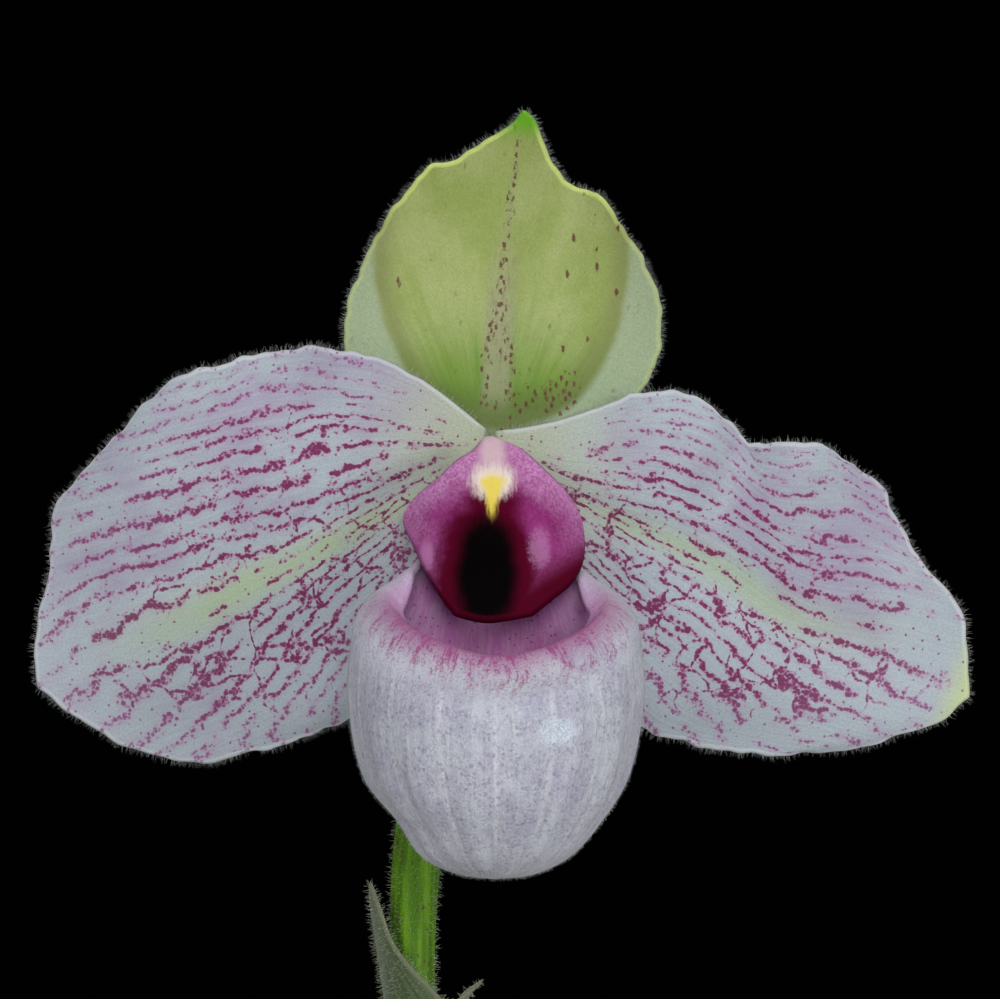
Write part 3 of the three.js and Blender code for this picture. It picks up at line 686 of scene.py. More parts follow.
def pouch_stain(field):
    """The feathered magenta round the mouth, deepest in front."""
    below, front, fibre, grain = field.below, field.front, field.fibre, field.grain
    fade = below * 0.19
    wash = (1.0 - fade + (field.ray - 0.5) * 1.6).ease(-0.1, 1.1) * below.ease(8.0, 2.0)
    plume = 0.75 + front * 0.5 - fade + (field.ray - 0.5) * 2.0 + (fibre - 0.5) * 2.8
    plume = plume + (grain - 0.5) * 2.0
    seam = (below + (fibre - 0.5) * 6 + (grain - 0.5) * 4).ease(3.8, -1.0)
    stain = (wash * (0.24 + front * 0.3)).most(plume.ease(0.0, 1.5) * (0.3 + front * 0.6))
    stain = stain.most(seam * (0.16 + front * 0.72)) * below.ease(9.0, 5.0)
    return stain * (0.8 + fibre * 0.4)


def pouch_inside(board, field, settings):
    """The streaked and specked lining."""
    deep = (field.fibre * 0.5 + field.ray * 0.3 + field.crowd * 0.2).ease(0.36, 0.64)
    speck_at, speck_pick = board.picked_cells(field.where, 1.6)
    speck = speck_at.ease(0.26, 0.14) * (0.5 - speck_pick).ease(0.0, 0.04)
    return board.coats(
        settings.pouch_lining,
        (deep * 0.7, settings.pouch_lining_deep),
        ((1 - field.front) * field.below.ease(-5.0, -1.5) * 0.6, settings.pouch_blush),
        (field.below.ease(-6.0, -1.0) * field.front * 0.8, settings.pouch_stain),
        ((field.z + field.x.size() * 0.3).ease(-15.5, -20.5) * 0.5, settings.pouch_stain),
        (speck * 0.7, settings.pouch_stain),
    )


def pouch_finish(settings):
    """Pearly slipper, mottled violet-grey, with pale ribs and feathered magenta at its mouth."""
    board = Finish("slipper_skin")
    _, rib = board.own("rib")
    _, within = board.own("within")
    field = PouchField(board)
    cloud, low, frost = field.cloud, field.low, field.frost
    # Painted highlight: a speckled bluish-white oval on the front of the belly, laid in as colour
    # where a lamp's reflection falls.
    painted_belly_highlight = oval(field.x, field.z, (7.1, -30.0), (0.16, 0.3)) + (cloud - 0.5) * 1.5
    painted_belly_highlight = painted_belly_highlight.ease(1.1, 0.1) * (0.35 + frost.ease(0.42, 0.6) * 0.65) * field.front
    ribbing = rib.ease(0.86, 1.0) * low * (0.2 + cloud.ease(0.4, 0.6) * 0.4)
    colour = board.coats(
        settings.pouch_ground,
        (cloud.ease(0.38, 0.64), settings.pouch_blush),
        # Painted shade in the soft furrows down the belly, where the drape's relief is low
        (field.drape.ease(0.56, 0.38) * low * 0.3, settings.pouch_furrow),
        (ribbing, settings.pouch_pale),
        (pouch_freckles(board, field), settings.pouch_freckle),
        (frost.ease(0.48, 0.7) * 0.35, settings.pouch_pale),
        (painted_belly_highlight * 0.75, settings.pouch_sheen),
        (pouch_stain(field), settings.pouch_stain),
        (within, pouch_inside(board, field, settings)),
    )
    height = frost * 0.5 + field.grain * 0.5 + field.fibre * 0.3 + field.drape * low * 2.0
    return board.surface(colour, 0.42 - within * 0.14, board.relief(height, 0.2),
                         Sheen_Weight=0.12, Sheen_Roughness=0.35, Specular_IOR_Level=0.45)


# The middle of the shield's dark patch, across and up from the flower's middle
DARK_MIDDLE = (-0.35, -14.0)


def shield_dark(x, z, off, warp, fine, comb):
    """Shares of the maroon and of the black in the shield's middle."""
    far = oval(x, z, DARK_MIDDLE, (0.042, 0.02)) + warp * 0.7 + (fine - 0.5) * 0.3
    skirt = (z - (x - DARK_MIDDLE[0]).size() * 0.6).ease(-15.6, -19.4)
    core = (off + comb * 0.2).ease(4.6, 1.4) * z.ease(-4.6, -6.6) * z.ease(-13.0, -8.0)
    maroon = far.ease(1.75, 0.75).most(skirt).most(core)
    pit = oval(x, z, DARK_MIDDLE, (0.085, 0.024)) + warp * 0.4 + (fine - 0.5) * 0.25
    return maroon, pit.ease(1.45, 0.4)


def shield_crest(z, off, warp, comb, mottle):
    """Shares of the white, the pinkish nub and the yellow blaze towards the shield's apex."""
    white = oval(off, z, (0.0, -4.3), (0.13, 0.17)) + comb * 0.17 + (mottle - 0.5) * 0.8
    nub = (off + (mottle - 0.5) * 2.0).ease(1.9, 0.6) * z.ease(-4.0, -1.6)
    taper = (0.0 - z - 4.4).most(0.0) * 0.3
    blaze = (off + taper + comb * 0.2).ease(1.75, 0.75)
    blaze = blaze * (z + comb * 0.35).ease(-8.9, -7.4) * (z + off * 0.4 + warp).ease(-3.0, -4.2)
    return white.ease(1.15, 0.1), nub, blaze


def shield_finish(settings):
    """Shield with a pale apex, a ragged yellow blaze, magenta wings and a black middle."""
    board = Finish("shield_gloss")
    where = board.place(tuple(FLOWER))
    x, _, z = board.split(where)
    _, edge = board.own("edge")
    _, flesh = board.own("flesh")
    warp = board.noise(where, 0.45, 2.0) - 0.5
    fine = board.noise(board.join(x * 2.6, 0.0, z * 0.55), 1.0, 3.0, 0.65)
    mottle = board.noise(where, 3.0, 3.0, 0.7)
    comb = (fine - 0.5) * 7
    off = (x - 0.25 + warp * 0.6).size()
    upper = (z + warp * 3).ease(-13.0, -5.0)
    frost = (edge + warp * 4).ease(4.6, 0.2) * (0.2 + upper * 0.8)
    frost = frost * (0.4 + mottle.ease(0.34, 0.66) * 0.6)
    maroon, black = shield_dark(x, z, off, warp, fine, comb)
    brim = edge.ease(0.5, 0.1) * z.ease(-15.5, -17.5)
    white, nub, blaze = shield_crest(z, off, warp, comb, mottle)
    # Painted reflections: two pale ovals on the wings, right and left, laid in the frost colour
    # where the lamps would be mirrored.
    right = oval(x, z, (5.2, -11.2), (0.5, 0.16))
    left = oval(x, z, (-6.6, -12.2), (1.3, 0.3))
    painted_shine = right.least(left) + (mottle - 0.5) * 2.4 + warp
    colour = board.coats(
        settings.shield_wing,
        ((mottle * 0.6 + warp * 0.6 + 0.2).ease(0.24, 0.76), settings.shield_wing_light),
        (frost * 0.95, settings.shield_frost),
        (maroon, settings.shield_maroon),
        (black, settings.shield_black),
        (brim * 0.6, settings.shield_maroon),
        (white * 0.9, settings.shield_white),
        (nub * 0.9, settings.shield_apex),
        (blaze * 0.95, settings.shield_blaze),
        (painted_shine.ease(1.2, 0.0) * 0.42, settings.shield_frost),
        (flesh, settings.shield_apex),
    )
    normal = board.relief(fine * 0.2 + mottle * 0.5, 0.16)
    return board.surface(colour, 0.5, normal, Specular_IOR_Level=0.02,
                         Coat_Weight=(1 - maroon) * 0.06, Coat_Roughness=0.35)


def stalk_finish(settings):
    """Green stalk with purple-brown dots and dashes, duller towards its foot."""
    board = Finish("stalk_skin")
    where = board.place()
    x, y, z = board.split(where)
    streak = board.noise(board.join(x * 1.6, y * 1.6, z * 0.09), 1.0, 3.0)
    ground = board.mix(streak.ease(0.35, 0.7), settings.stalk_green, settings.stalk_light)
    ground = board.mix(z.ease(250.0, 190.0) * 0.8, ground, settings.stalk_foot)
    pick = board.noise(board.join(x * 0.8, y * 0.8, z * 0.25), 1.0, 2.0)
    dots = board.cells(board.join(x * 2.6, y * 2.6, z * 1.1), 1.0).ease(0.4, 0.2)
    colour = board.mix(dots * pick.ease(0.46, 0.6) * 0.8, ground, settings.stalk_dot)
    normal = board.relief(streak * 0.6 + board.noise(where, 4.0, 2.0) * 0.4, 0.2)
    return board.surface(colour, 0.5 + streak * 0.15, normal, Specular_IOR_Level=0.2)


def bract_finish(settings):
    """Grey-green bract, veined lengthwise and browned at its margin."""
    board = Finish("bract_skin")
    lay, _ = board.own("lay")
    _, edge = board.own("edge")
    u, v, _ = board.split(lay)
    streak = board.noise(board.join(u * 2, v * 26, 1.0), 1.0, 3.0)
    ground = board.mix(streak.ease(0.3, 0.7), settings.bract_green, settings.bract_grey)
    ground = board.mix(edge.ease(0.5, 0.05) * 0.6, ground, settings.bract_rim)
    dots = board.cells(board.join(u * 20, v * 16, 2.0), 1.0).ease(0.36, 0.18)
    colour = board.mix(dots * streak.ease(0.5, 0.6) * 0.5, ground, settings.stalk_dot)
    return board.surface(colour, 0.6, board.relief(streak, 0.15), Sheen_Weight=0.4)


def leaf_finish(settings):
    """Strap leaf tiled in dark and pale green above, plain and purple-dusted beneath."""
    board = Finish("leaf_skin")
    lay, _ = board.own("lay")
    where = board.place()
    u, v, top = board.split(lay)
    off = (v - 0.5).size() * 2
    tiles = board.join(u * 26, v * 17, 0.0)
    warp = board.noise(where, 0.12, 2.0)
    tile = board.cells(tiles, 1.0, "F1", "Color", 0.85)
    tone = board.split(tile)[0] * 0.55 + warp * 0.45
    wide = board.noise(where, 0.05, 2.0)
    pale = (tone + (wide - 0.5) * 0.6).ease(0.4, 0.6)
    veins = board.noise(board.join(u * 1.5, v * 70, 2.0), 1.0, 2.0)
    above = board.coats(
        settings.leaf_dark,
        (pale * 0.85, settings.leaf_pale),
        (veins.ease(0.4, 0.8) * 0.18, settings.leaf_vein),
        (off.ease(0.05, 0.0) * 0.6, settings.leaf_vein),
    )
    dust = board.cells(where, 1.7).ease(0.4, 0.16) * wide.ease(0.42, 0.6)
    beneath = board.coats(
        settings.leaf_under,
        (warp.ease(0.4, 0.7), settings.leaf_under_light),
        (dust * 0.7, settings.leaf_dust),
        (u.ease(0.3, 0.05) * 0.6, settings.leaf_dust),
    )
    colour = board.mix(top, beneath, above)
    colour = board.mix(u.ease(0.2, 0.0) * top * 0.6, colour, settings.leaf_under_light)
    height = veins * 0.5 + pale * 0.25 + board.noise(where, 1.2, 3.0) * 0.4
    return board.surface(colour, 0.34 + warp * 0.16, board.relief(height, 0.25),
                         Coat_Weight=0.2, Coat_Roughness=0.3)


def bark_finish(settings):
    """Fir bark: plates of red-brown, grey and near-black, finely split along the grain."""
    board = Finish("bark_chip_skin")
    grain, _ = board.own("grain")
    _, tone = board.own("tone")
    x, y, z = board.split(grain)
    layers = board.noise(board.join(x * 0.25, y * 0.6, z * 2.6), 1.0, 4.0, 0.65)
    fibre = board.noise(board.join(x * 0.5, y * 4.0, z * 4.0), 1.0, 3.0, 0.6)
    pits = board.cells(grain, 0.9).ease(0.3, 0.6)
    colour = board.coats(
        settings.bark_red,
        (tone, settings.bark_grey),
        (layers.ease(0.42, 0.62) * 0.75, settings.bark_dark),
        (fibre.ease(0.55, 0.75) * 0.4, settings.bark_light),
    )
    height = layers * 0.6 + fibre * 0.3 + pits * 0.2
    return board.surface(colour, 0.82 + fibre * 0.12, board.relief(height, 0.9))


def soil_finish(settings):
    """The dark crumbs of bark between and below the chips."""
    board = Finish("bark_bed_skin")
    where = board.place()
    crumbs = board.cells(where, 0.5, "F1", "Color")
    gaps = board.cells(where, 0.5, "DISTANCE_TO_EDGE").ease(0.0, 0.3)
    fibre = board.noise(where, 1.6, 4.0, 0.65)
    colour = board.mix(board.split(crumbs)[0], settings.bark_dark, settings.bark_red)
    colour = board.mix(fibre.ease(0.5, 0.8) * 0.4, colour, settings.bark_light)
    return board.surface(colour, 0.95, board.relief(gaps * 0.7 + fibre * 0.3, 1.6))


def clay_finish(settings):
    """Fired clay with turning marks, damp towards its foot and a bloom of lime on its flanks."""
    board = Finish("clay_skin")
    where = board.place()
    x, y, z = board.split(where)
    rings = board.noise(board.join(x * 0.006, y * 0.006, z * 1.1), 1.0, 3.0, 0.6)
    cloud = board.noise(where, 0.035, 3.0, 0.6)
    speck = board.noise(where, 1.4, 3.0, 0.7)
    bloom = (cloud + speck * 0.35 - 0.2).ease(0.52, 0.74) * z.ease(82.0, 40.0)
    damp = (z + cloud * 18).ease(22.0, 8.0)
    grit = board.cells(where, 0.85).ease(0.22, 0.1)
    colour = board.coats(
        settings.clay_body,
        (cloud.ease(0.3, 0.7), settings.clay_deep),
        (rings.ease(0.4, 0.75) * 0.3, settings.clay_light),
        (bloom * settings.lime_share, settings.clay_lime),
        (damp * 0.5, settings.clay_damp),
        (grit * 0.4, settings.clay_damp),
    )
    height = rings * 0.6 + speck * 0.25 - grit * 0.3
    return board.surface(colour, 0.78 + speck * 0.14, board.relief(height, 0.5))


def hair_finish(name, root, tip_colour):
    """Fine hair that pales towards its tip."""
    board = Finish(name)
    _, tip = board.own("tip")
    patch = board.noise(board.place(), 0.3, 2.0)
    colour = board.mix((tip + patch * 0.4 - 0.2).ease(0.0, 1.0), root, tip_colour)
    return board.surface(colour, 0.5, None, Sheen_Weight=0.5)


# Repeats, made with Geometry Nodes


class Recipe(Board):
    """One Geometry Nodes tree, whose named inputs hold its sizes."""

    KINDS = {float: "NodeSocketFloat", int: "NodeSocketInt"}

    def __init__(self, name, sizes):
        super().__init__(bpy.data.node_groups.new(name, "GeometryNodeTree"))
        sockets = self.tree.interface.new_socket
        sockets(name="Geometry", in_out="INPUT", socket_type="NodeSocketGeometry")
        sockets(name="Geometry", in_out="OUTPUT", socket_type="NodeSocketGeometry")
        for key, value in sizes.items():
            sockets(name=key, in_out="INPUT", socket_type=self.KINDS[type(value)])
        sockets(name="Material", in_out="INPUT", socket_type="NodeSocketMaterial")
        self.entry = self.node("NodeGroupInput", None, None, "Geometry")

    def given(self, name):
        return self.other(self.entry, name)

    def random(self, low, high, seed):
        """A number that differs from one point to the next."""
        return self.node("FunctionNodeRandomValue", {"data_type": "FLOAT"},
                         {2: low, 3: high, 8: seed}, 1)

    def attribute(self, name):
        return self.node("GeometryNodeInputNamedAttribute", {"data_type": "FLOAT"},
                         {"Name": name}, "Attribute")

    def store(self, geometry, name, value, domain="POINT"):
        settings = {"data_type": "FLOAT", "domain": domain}
        return self.node("GeometryNodeStoreNamedAttribute", settings,
                         {"Geometry": geometry, "Name": name, "Value": value})

    def position(self):
        return self.node("GeometryNodeInputPosition")

    def finish(self, geometry):
        real = self.node("GeometryNodeRealizeInstances", None, {"Geometry": geometry})
        smoothed = self.node("GeometryNodeSetShadeSmooth", None, {"Geometry": real})
        coloured = self.node("GeometryNodeSetMaterial", None,
                             {"Geometry": smoothed, "Material": self.given("Material")})
        self.node("NodeGroupOutput", None, {0: coloured})

    def run(self, holder, sizes, material):
        """Runs the recipe on an object's own mesh and keeps the result as its plain mesh."""
        modifier = holder.modifiers.new("shape", "NODES")
        modifier.node_group = self.tree
        values = dict(sizes, Material=material)
        for item in self.tree.interface.items_tree:
            if item.in_out == "INPUT" and item.name in values:
                modifier[item.identifier] = values[item.name]
        graph = bpy.context.evaluated_depsgraph_get()
        graph.update()
        result = bpy.data.meshes.new_from_object(
            holder.evaluated_get(graph), preserve_all_data_layers=True, depsgraph=graph)
        holder.modifiers.remove(modifier)
        holder.data = result
        return holder


HAIR_SIZES = {"Density": 1.0, "Length": 1.0 * MM, "Thickness": 0.04 * MM, "Lean": 0.5, "Seed": 1}
# Hairs on a square metre where the surface's "hair" attribute is 1, and each kind's foot radius
SEPAL_HAIRS = 6e7
PETAL_HAIRS = 5e7
POUCH_HAIRS = 5.4e6
STALK_HAIRS = 4.8e6
BRACT_HAIRS = 4.8e7
MARGIN_HAIR_THICKNESS = 0.014 * MM
FUZZ_THICKNESS = 0.018 * MM
STALK_HAIR_THICKNESS = 0.024 * MM


def hair_recipe():
    """Tapered three-sided hairs, thickest where the surface's "hair" attribute is 1."""
    recipe = Recipe("hairs", HAIR_SIZES)
    points = recipe.node("GeometryNodeDistributePointsOnFaces", None, {
        "Mesh": recipe.entry, "Density": recipe.attribute("hair") * recipe.given("Density"),
        "Seed": recipe.given("Seed")})
    cone = recipe.node("GeometryNodeMeshCone", None, {
        "Vertices": 3, "Side Segments": 1, "Radius Top": 0.1, "Radius Bottom": 1.0, "Depth": 1.0})
    cone = recipe.store(cone, "tip", recipe.split(recipe.position())[2])
    lean = recipe.given("Lean")
    tilt = recipe.join(recipe.random(0.0 - lean, lean, 11), recipe.random(0.0 - lean, lean, 12),
                        recipe.random(0.0, math.tau, 13))
    tilt = recipe.node("FunctionNodeEulerToRotation", None, {0: tilt})
    turned = recipe.node("FunctionNodeRotateRotation", {"rotation_space": "LOCAL"},
                         {"Rotation": recipe.other(points, "Rotation"), "Rotate By": tilt})
    size = recipe.random(0.25, 1.0, 14)
    thick = recipe.given("Thickness")
    hairs = recipe.node("GeometryNodeInstanceOnPoints", None, {
        "Points": points, "Instance": cone, "Rotation": turned,
        "Scale": recipe.join(thick, thick, recipe.given("Length") * size)})
    recipe.finish(hairs)
    return recipe


def grow_hairs(name, source, slot, material, **sizes):
    """Hairs on a copy of a piece's mesh, kept as a piece of their own."""
    holder = new_object(name, source.data.copy())
    ride_root(hair_recipe().run(holder, dict(HAIR_SIZES, **sizes), material), slot)


STALK_SIZES = {"Steps": 420, "Sides": 30, "Foot Radius": 2.6 * MM, "Neck Radius": 2.05 * MM,
               "Ovary Swell": 0.42 * MM, "Rib Height": 0.14 * MM, "Ribs": 6.0,
               "Receptacle Radius": 4.0 * MM}


def stalk_recipe():
    """A stalk swept along its path that swells into a ribbed ovary and a round receptacle."""
    recipe = Recipe("stalk", STALK_SIZES)

    rail = recipe.node("GeometryNodeMeshToCurve", None, {"Mesh": recipe.entry})
    rail = recipe.node("GeometryNodeResampleCurve", None,
                       {"Curve": rail, "Count": recipe.given("Steps")})
    share = recipe.node("GeometryNodeSplineParameter", None, None, "Factor")
    rail = recipe.store(rail, "along", share)
    ring = recipe.node("GeometryNodeCurvePrimitiveCircle", None,
                       {"Resolution": recipe.given("Sides"), "Radius": 1.0})
    ring = recipe.store(ring, "turn", recipe.node("GeometryNodeSplineParameter", None, None,
                                                  "Factor"))
    along = recipe.attribute("along")
    neck = recipe.given("Neck Radius")
    foot = recipe.given("Foot Radius")
    scape = foot + (neck - foot) * along.ease(0.15, 0.65)
    ovary = recipe.given("Ovary Swell") * along.ease(0.7, 0.79) * along.ease(0.97, 0.86)
    head = (recipe.given("Receptacle Radius") - neck) * along.ease(0.965, 0.998)
    rail = recipe.node("GeometryNodeSetCurveRadius", None,
                       {"Curve": rail, "Radius": scape + ovary + head})
    tube = recipe.node("GeometryNodeCurveToMesh", None, {
        "Curve": rail, "Profile Curve": ring, "Fill Caps": True,
        "Scale": recipe.node("GeometryNodeInputRadius")})
    rib = (recipe.attribute("turn") * math.tau * recipe.given("Ribs")).math("COSINE")
    rib = rib * recipe.given("Rib Height") * along.ease(0.72, 0.78) * along.ease(0.98, 0.92)
    normal = recipe.node("GeometryNodeInputNormal")
    push = recipe.node("ShaderNodeVectorMath", {"operation": "SCALE"}, {0: normal, "Scale": rib})
    tube = recipe.node("GeometryNodeSetPosition", None, {"Geometry": tube, "Offset": push})
    recipe.finish(tube)
    return recipe


POT_SIZES = {"Sides": 144, "Steps": 220, "Drain Radius": DRAIN_RADIUS * MM,
             "Drain Ring": DRAIN_RING * MM, "Drains": DRAIN_COUNT, "Throwing Marks": 0.12 * MM}


def pot_recipe():
    """A profile turned about +Z, with drain holes bored round its floor."""
    recipe = Recipe("turned_pot", POT_SIZES)
    profile = recipe.node("GeometryNodeMeshToCurve", None, {"Mesh": recipe.entry})
    grid = recipe.node("GeometryNodeMeshGrid", None, {
        "Size X": 1.0, "Size Y": 1.0, "Vertices X": recipe.given("Sides") + 1,
        "Vertices Y": recipe.given("Steps")})
    x, y, _ = recipe.split(recipe.position())
    spot = recipe.node("GeometryNodeSampleCurve", {"mode": "FACTOR", "use_all_curves": True},
                       {"Curves": profile, "Factor": y + 0.5}, "Position")
    reach, _, height = recipe.split(spot)
    marks = recipe.node("ShaderNodeTexNoise", None, {
        "Vector": recipe.join(0.0, 0.0, height * 700), "Scale": 1.0, "Detail": 2.0})
    reach = (reach + (marks - 0.5) * recipe.given("Throwing Marks")).most(0.0)
    angle = x * math.tau
    turned = recipe.join(reach * angle.math("COSINE"), reach * angle.math("SINE"), height)
    body = recipe.node("GeometryNodeSetPosition", None, {"Geometry": grid, "Position": turned})
    body = recipe.node("GeometryNodeMergeByDistance", None, {"Geometry": body, "Distance": 1e-5})
    drill = recipe.node("GeometryNodeMeshCylinder", None, {
        "Vertices": 48, "Radius": recipe.given("Drain Radius"), "Depth": POT_FLOOR * 3 * MM})
    ring = recipe.node("GeometryNodeMeshCircle", None, {
        "Vertices": recipe.given("Drains"), "Radius": recipe.given("Drain Ring")})
    drills = recipe.node("GeometryNodeInstanceOnPoints", None,
                         {"Points": ring, "Instance": drill})
    drills = recipe.node("GeometryNodeRealizeInstances", None, {"Geometry": drills})
    drills = recipe.node("GeometryNodeTransform", None, {
        "Geometry": drills, "Rotation": (0.0, 0.0, math.pi / 2)})
    bored = recipe.node("GeometryNodeMeshBoolean", {"operation": "DIFFERENCE", "solver": "EXACT"},
                        {"Mesh 1": body, "Mesh 2": drills})
    recipe.finish(bored)
    return recipe


CRUMB_SIZES = {"Density": 1.0, "Smallest": 1.0 * MM, "Largest": 3.0 * MM, "Seed": 3}


def crumb_recipe():
    """Small angular crumbs of bark, scattered where the surface's "hair" attribute is 1."""
    recipe = Recipe("bark_crumbs", CRUMB_SIZES)
    points = recipe.node("GeometryNodeDistributePointsOnFaces", None, {
        "Mesh": recipe.entry, "Density": recipe.attribute("hair") * recipe.given("Density"),
        "Seed": recipe.given("Seed")})
    crumb = recipe.node("GeometryNodeMeshIcoSphere", None, {"Radius": 1.0, "Subdivisions": 2})
    rough = recipe.node("ShaderNodeTexNoise", None, {
        "Vector": recipe.position(), "Scale": 1.3, "Detail": 1.0})
    push = recipe.node("ShaderNodeVectorMath", {"operation": "SCALE"},
                       {0: recipe.node("GeometryNodeInputNormal"), "Scale": (rough - 0.6) * 1.2})
    crumb = recipe.node("GeometryNodeSetPosition", None, {"Geometry": crumb, "Offset": push})
    size = recipe.random(recipe.given("Smallest"), recipe.given("Largest"), 21)
    turn = recipe.join(recipe.random(0.0, math.tau, 22), recipe.random(0.0, math.tau, 23),
                        recipe.random(0.0, math.tau, 24))
    points = recipe.store(points, "tone", recipe.random(0.0, 1.0, 27))
    crumbs = recipe.node("GeometryNodeInstanceOnPoints", None, {
        "Points": points, "Instance": crumb,
        "Rotation": recipe.node("FunctionNodeEulerToRotation", None, {0: turn}),
        "Scale": recipe.join(size * recipe.random(0.6, 1.3, 25), size * 0.6,
                              size * recipe.random(0.25, 0.5, 26))})
    recipe.finish(crumbs)
    return recipe


# The flower's blades, from the same outlines as the frame's


def outline_lattice(first, second, far, relief, rows, columns, ripple=0.0):
    """The middle surface of a blade between its two margins and its far edge."""
    u, v = lattice(rows, columns)
    ends = far(np.array([0.0, 1.0]))
    spot = lerp(first.at(u), second.at(u), v[..., None])
    spot += (far(v) - lerp(ends[0], ends[1], v[..., None])) * u[..., None]
    away = spot - spot[rows // 2, columns // 2]
    turn = np.arctan2(away[..., 2], away[..., 0])
    wave = np.sin(turn * 19) + 0.7 * np.sin(turn * 31 + 2) + 0.5 * np.sin(turn * 53 + 1)
    free = np.maximum(np.abs(2 * v - 1) ** 10, u**12) * smooth(u, 0.15, 0.4)
    spot += unit(away * (1, 0, 1)) * (ripple * wave * free)[..., None]
    spot[..., 1] = relief(spot[..., 0], spot[..., 2], u, v)
    return spot, u, v


SEPAL_HEIGHT = 34.8
SEPAL_LEFT = outline(
    (-3, 0.2), (-6.4, 1.9), (-11.2, 4.3), (-14.4, 7.5), (-15.4, 10.7), (-14.9, 14.9),
    (-13.2, 19.2), (-11, 23.4), (-7.7, 27.7),
)
SEPAL_RIGHT = outline(
    (3, 0.2), (7.5, 1.6), (14.9, 4.3), (17, 6.9), (18.1, 11.2), (17.9, 14.9),
    (16.2, 19.2), (13.5, 23.4), (11.5, 26.3),
)
SEPAL_TIP = joined(
    outline((-7.7, 27.7), (-6.2, 29), (-3.3, 29.9), (-0.1, 31.9), (2.1, 33.3), (3.6, 34.8)),
    outline((3.6, 34.8), (4.6, 33.7), (5.5, 31.7), (6.7, 29.3), (8.6, 27), (11.5, 26.3)),
    7 / 12,
)


def sepal_relief(x, z, u, v):
    height = np.clip(z / SEPAL_HEIGHT, 0, 1)
    bow = 4.2 * np.sin(math.pi * height / 1.15) * smooth(height, 0.03, 0.12)
    spine = SEPAL_LAYER + bow - 6 * height**4
    off = x - 3.6 * height
    return spine - 0.033 * height**1.3 * off * off + 0.25 * np.cos(off * 0.9) * height


SYNSEPAL_LEFT = outline((-3, -4.8), (-7.5, -8), (-11.5, -14), (-12.4, -20), (-8.6, -26.5))
SYNSEPAL_RIGHT = outline((3, -4.8), (7.9, -8), (12, -14), (12.8, -20), (9, -26.5))
SYNSEPAL_TIP = joined(
    outline((-8.6, -26.5), (-4.5, -29), (0.6, -30.6)),
    outline((0.6, -30.6), (5.2, -29), (9, -26.5)),
    0.5,
)


def synsepal_relief(x, z, u, v):
    reach = x * x + z * z
    return SEPAL_LAYER + 0.0062 * reach - 0.2 * smooth(np.abs(z), 6, 14) * np.cos(x * 0.7)


LEFT_UPPER = outline(
    (-0.6, 1.1), (-3, 3.1), (-5.3, 4.9), (-9.6, 7.6), (-14.9, 9.3), (-20.2, 9.7),
    (-25.6, 8.8), (-29.3, 7.8), (-34, 6.4),
)
LEFT_LOWER = outline(
    (-1.95, -3.6), (-2.2, -6.9), (-3, -10.7), (-5.3, -16.2), (-8.5, -21.3), (-11.7, -25.6),
    (-15.5, -29.6), (-20.6, -31.8), (-25.6, -33.2),
)
LEFT_TIP = joined(
    outline((-34, 6.4), (-38.3, 2.1), (-42.1, -2.1), (-46, -6.4), (-46.9, -10.5), (-47.2, -14.9),
            (-48.8, -21.8), (-48.2, -26.3)),
    outline((-48.2, -26.3), (-44, -29.7), (-39.9, -31.9), (-36.2, -33.4), (-30.9, -34.2),
            (-25.6, -33.2)),
    7 / 12,
)
RIGHT_UPPER = outline(
    (0.7, 0.8), (4.3, 1.3), (7.5, 2), (11.7, 3.4), (17, 5.1), (20.2, 4.9), (22.9, 4),
    (26.1, 1.1), (27.7, -0.3), (31.9, -0.4), (34.3, -0.3), (38.9, -2.8),
)
RIGHT_LOWER = outline(
    (1.95, -3.6), (2.2, -6.4), (3.2, -10.7), (5.9, -16.5), (8.5, -21.3), (11.7, -26.1),
    (15.5, -30), (19.8, -31.8), (27.7, -33.3), (33, -33.4),
)
RIGHT_TIP = joined(
    outline((38.9, -2.8), (41.4, -4.7), (43.5, -8.5), (45.8, -12.8), (49.6, -17), (50.9, -21.8),
            (51.2, -27.4)),
    outline((51.2, -27.4), (47.8, -29.9), (42.5, -31.9), (38.3, -32.9), (33, -33.4)),
    7 / 12,
)
# The fold in the right petal, from the notch in its upper margin to where it dies out
NOTCH = np.array([27.7, -0.3])
NOTCH_END = np.array([20.5, -15.0])
NOTCH_DEPTH = 1.9
NOTCH_SPREAD = 3.0


def petal_relief(x, z, u, v, phase):
    reach = x * x + z * z
    rib = np.abs(2 * v - 1.02)
    channel = 0.7 * np.exp(-rib * rib * 30) * smooth(u, 0.1, 0.3)
    margin = np.maximum(np.abs(2 * v - 1) ** 4, u**6)
    wave = np.sin(u * 15 + v * 5 + phase) * margin * smooth(u, 0.15, 0.5)
    swell = 0.5 * np.sin(u * 7 + v * 9 + phase) * smooth(u, 0.25, 0.6)
    return PETAL_LAYER + PETAL_REFLEX * reach + channel - 0.9 * wave - swell


def notch_fold(x, z):
    run = np.linalg.norm(NOTCH_END - NOTCH)
    way = (NOTCH_END - NOTCH) / run
    along = (x - NOTCH[0]) * way[0] + (z - NOTCH[1]) * way[1]
    off = ((x - NOTCH[0]) * way[1] - (z - NOTCH[1]) * way[0]) / NOTCH_SPREAD
    valley = np.exp(-off * off) - 0.35 * np.exp(-((np.abs(off) - 2) ** 2))
    return NOTCH_DEPTH * valley * (1 - smooth(along, 2, run))


def right_petal_relief(x, z, u, v):
    return petal_relief(x, z, u, 1 - v, 2.3) + notch_fold(x, z)


# A blade's thickness at its free margin, as a share of that in its middle
BLADE_RIM = 0.45
PETAL_RIPPLE = 0.13
SEPAL_RIPPLE = 0.09


def reversed_walk(walk):
    return lambda t: walk(1 - t)


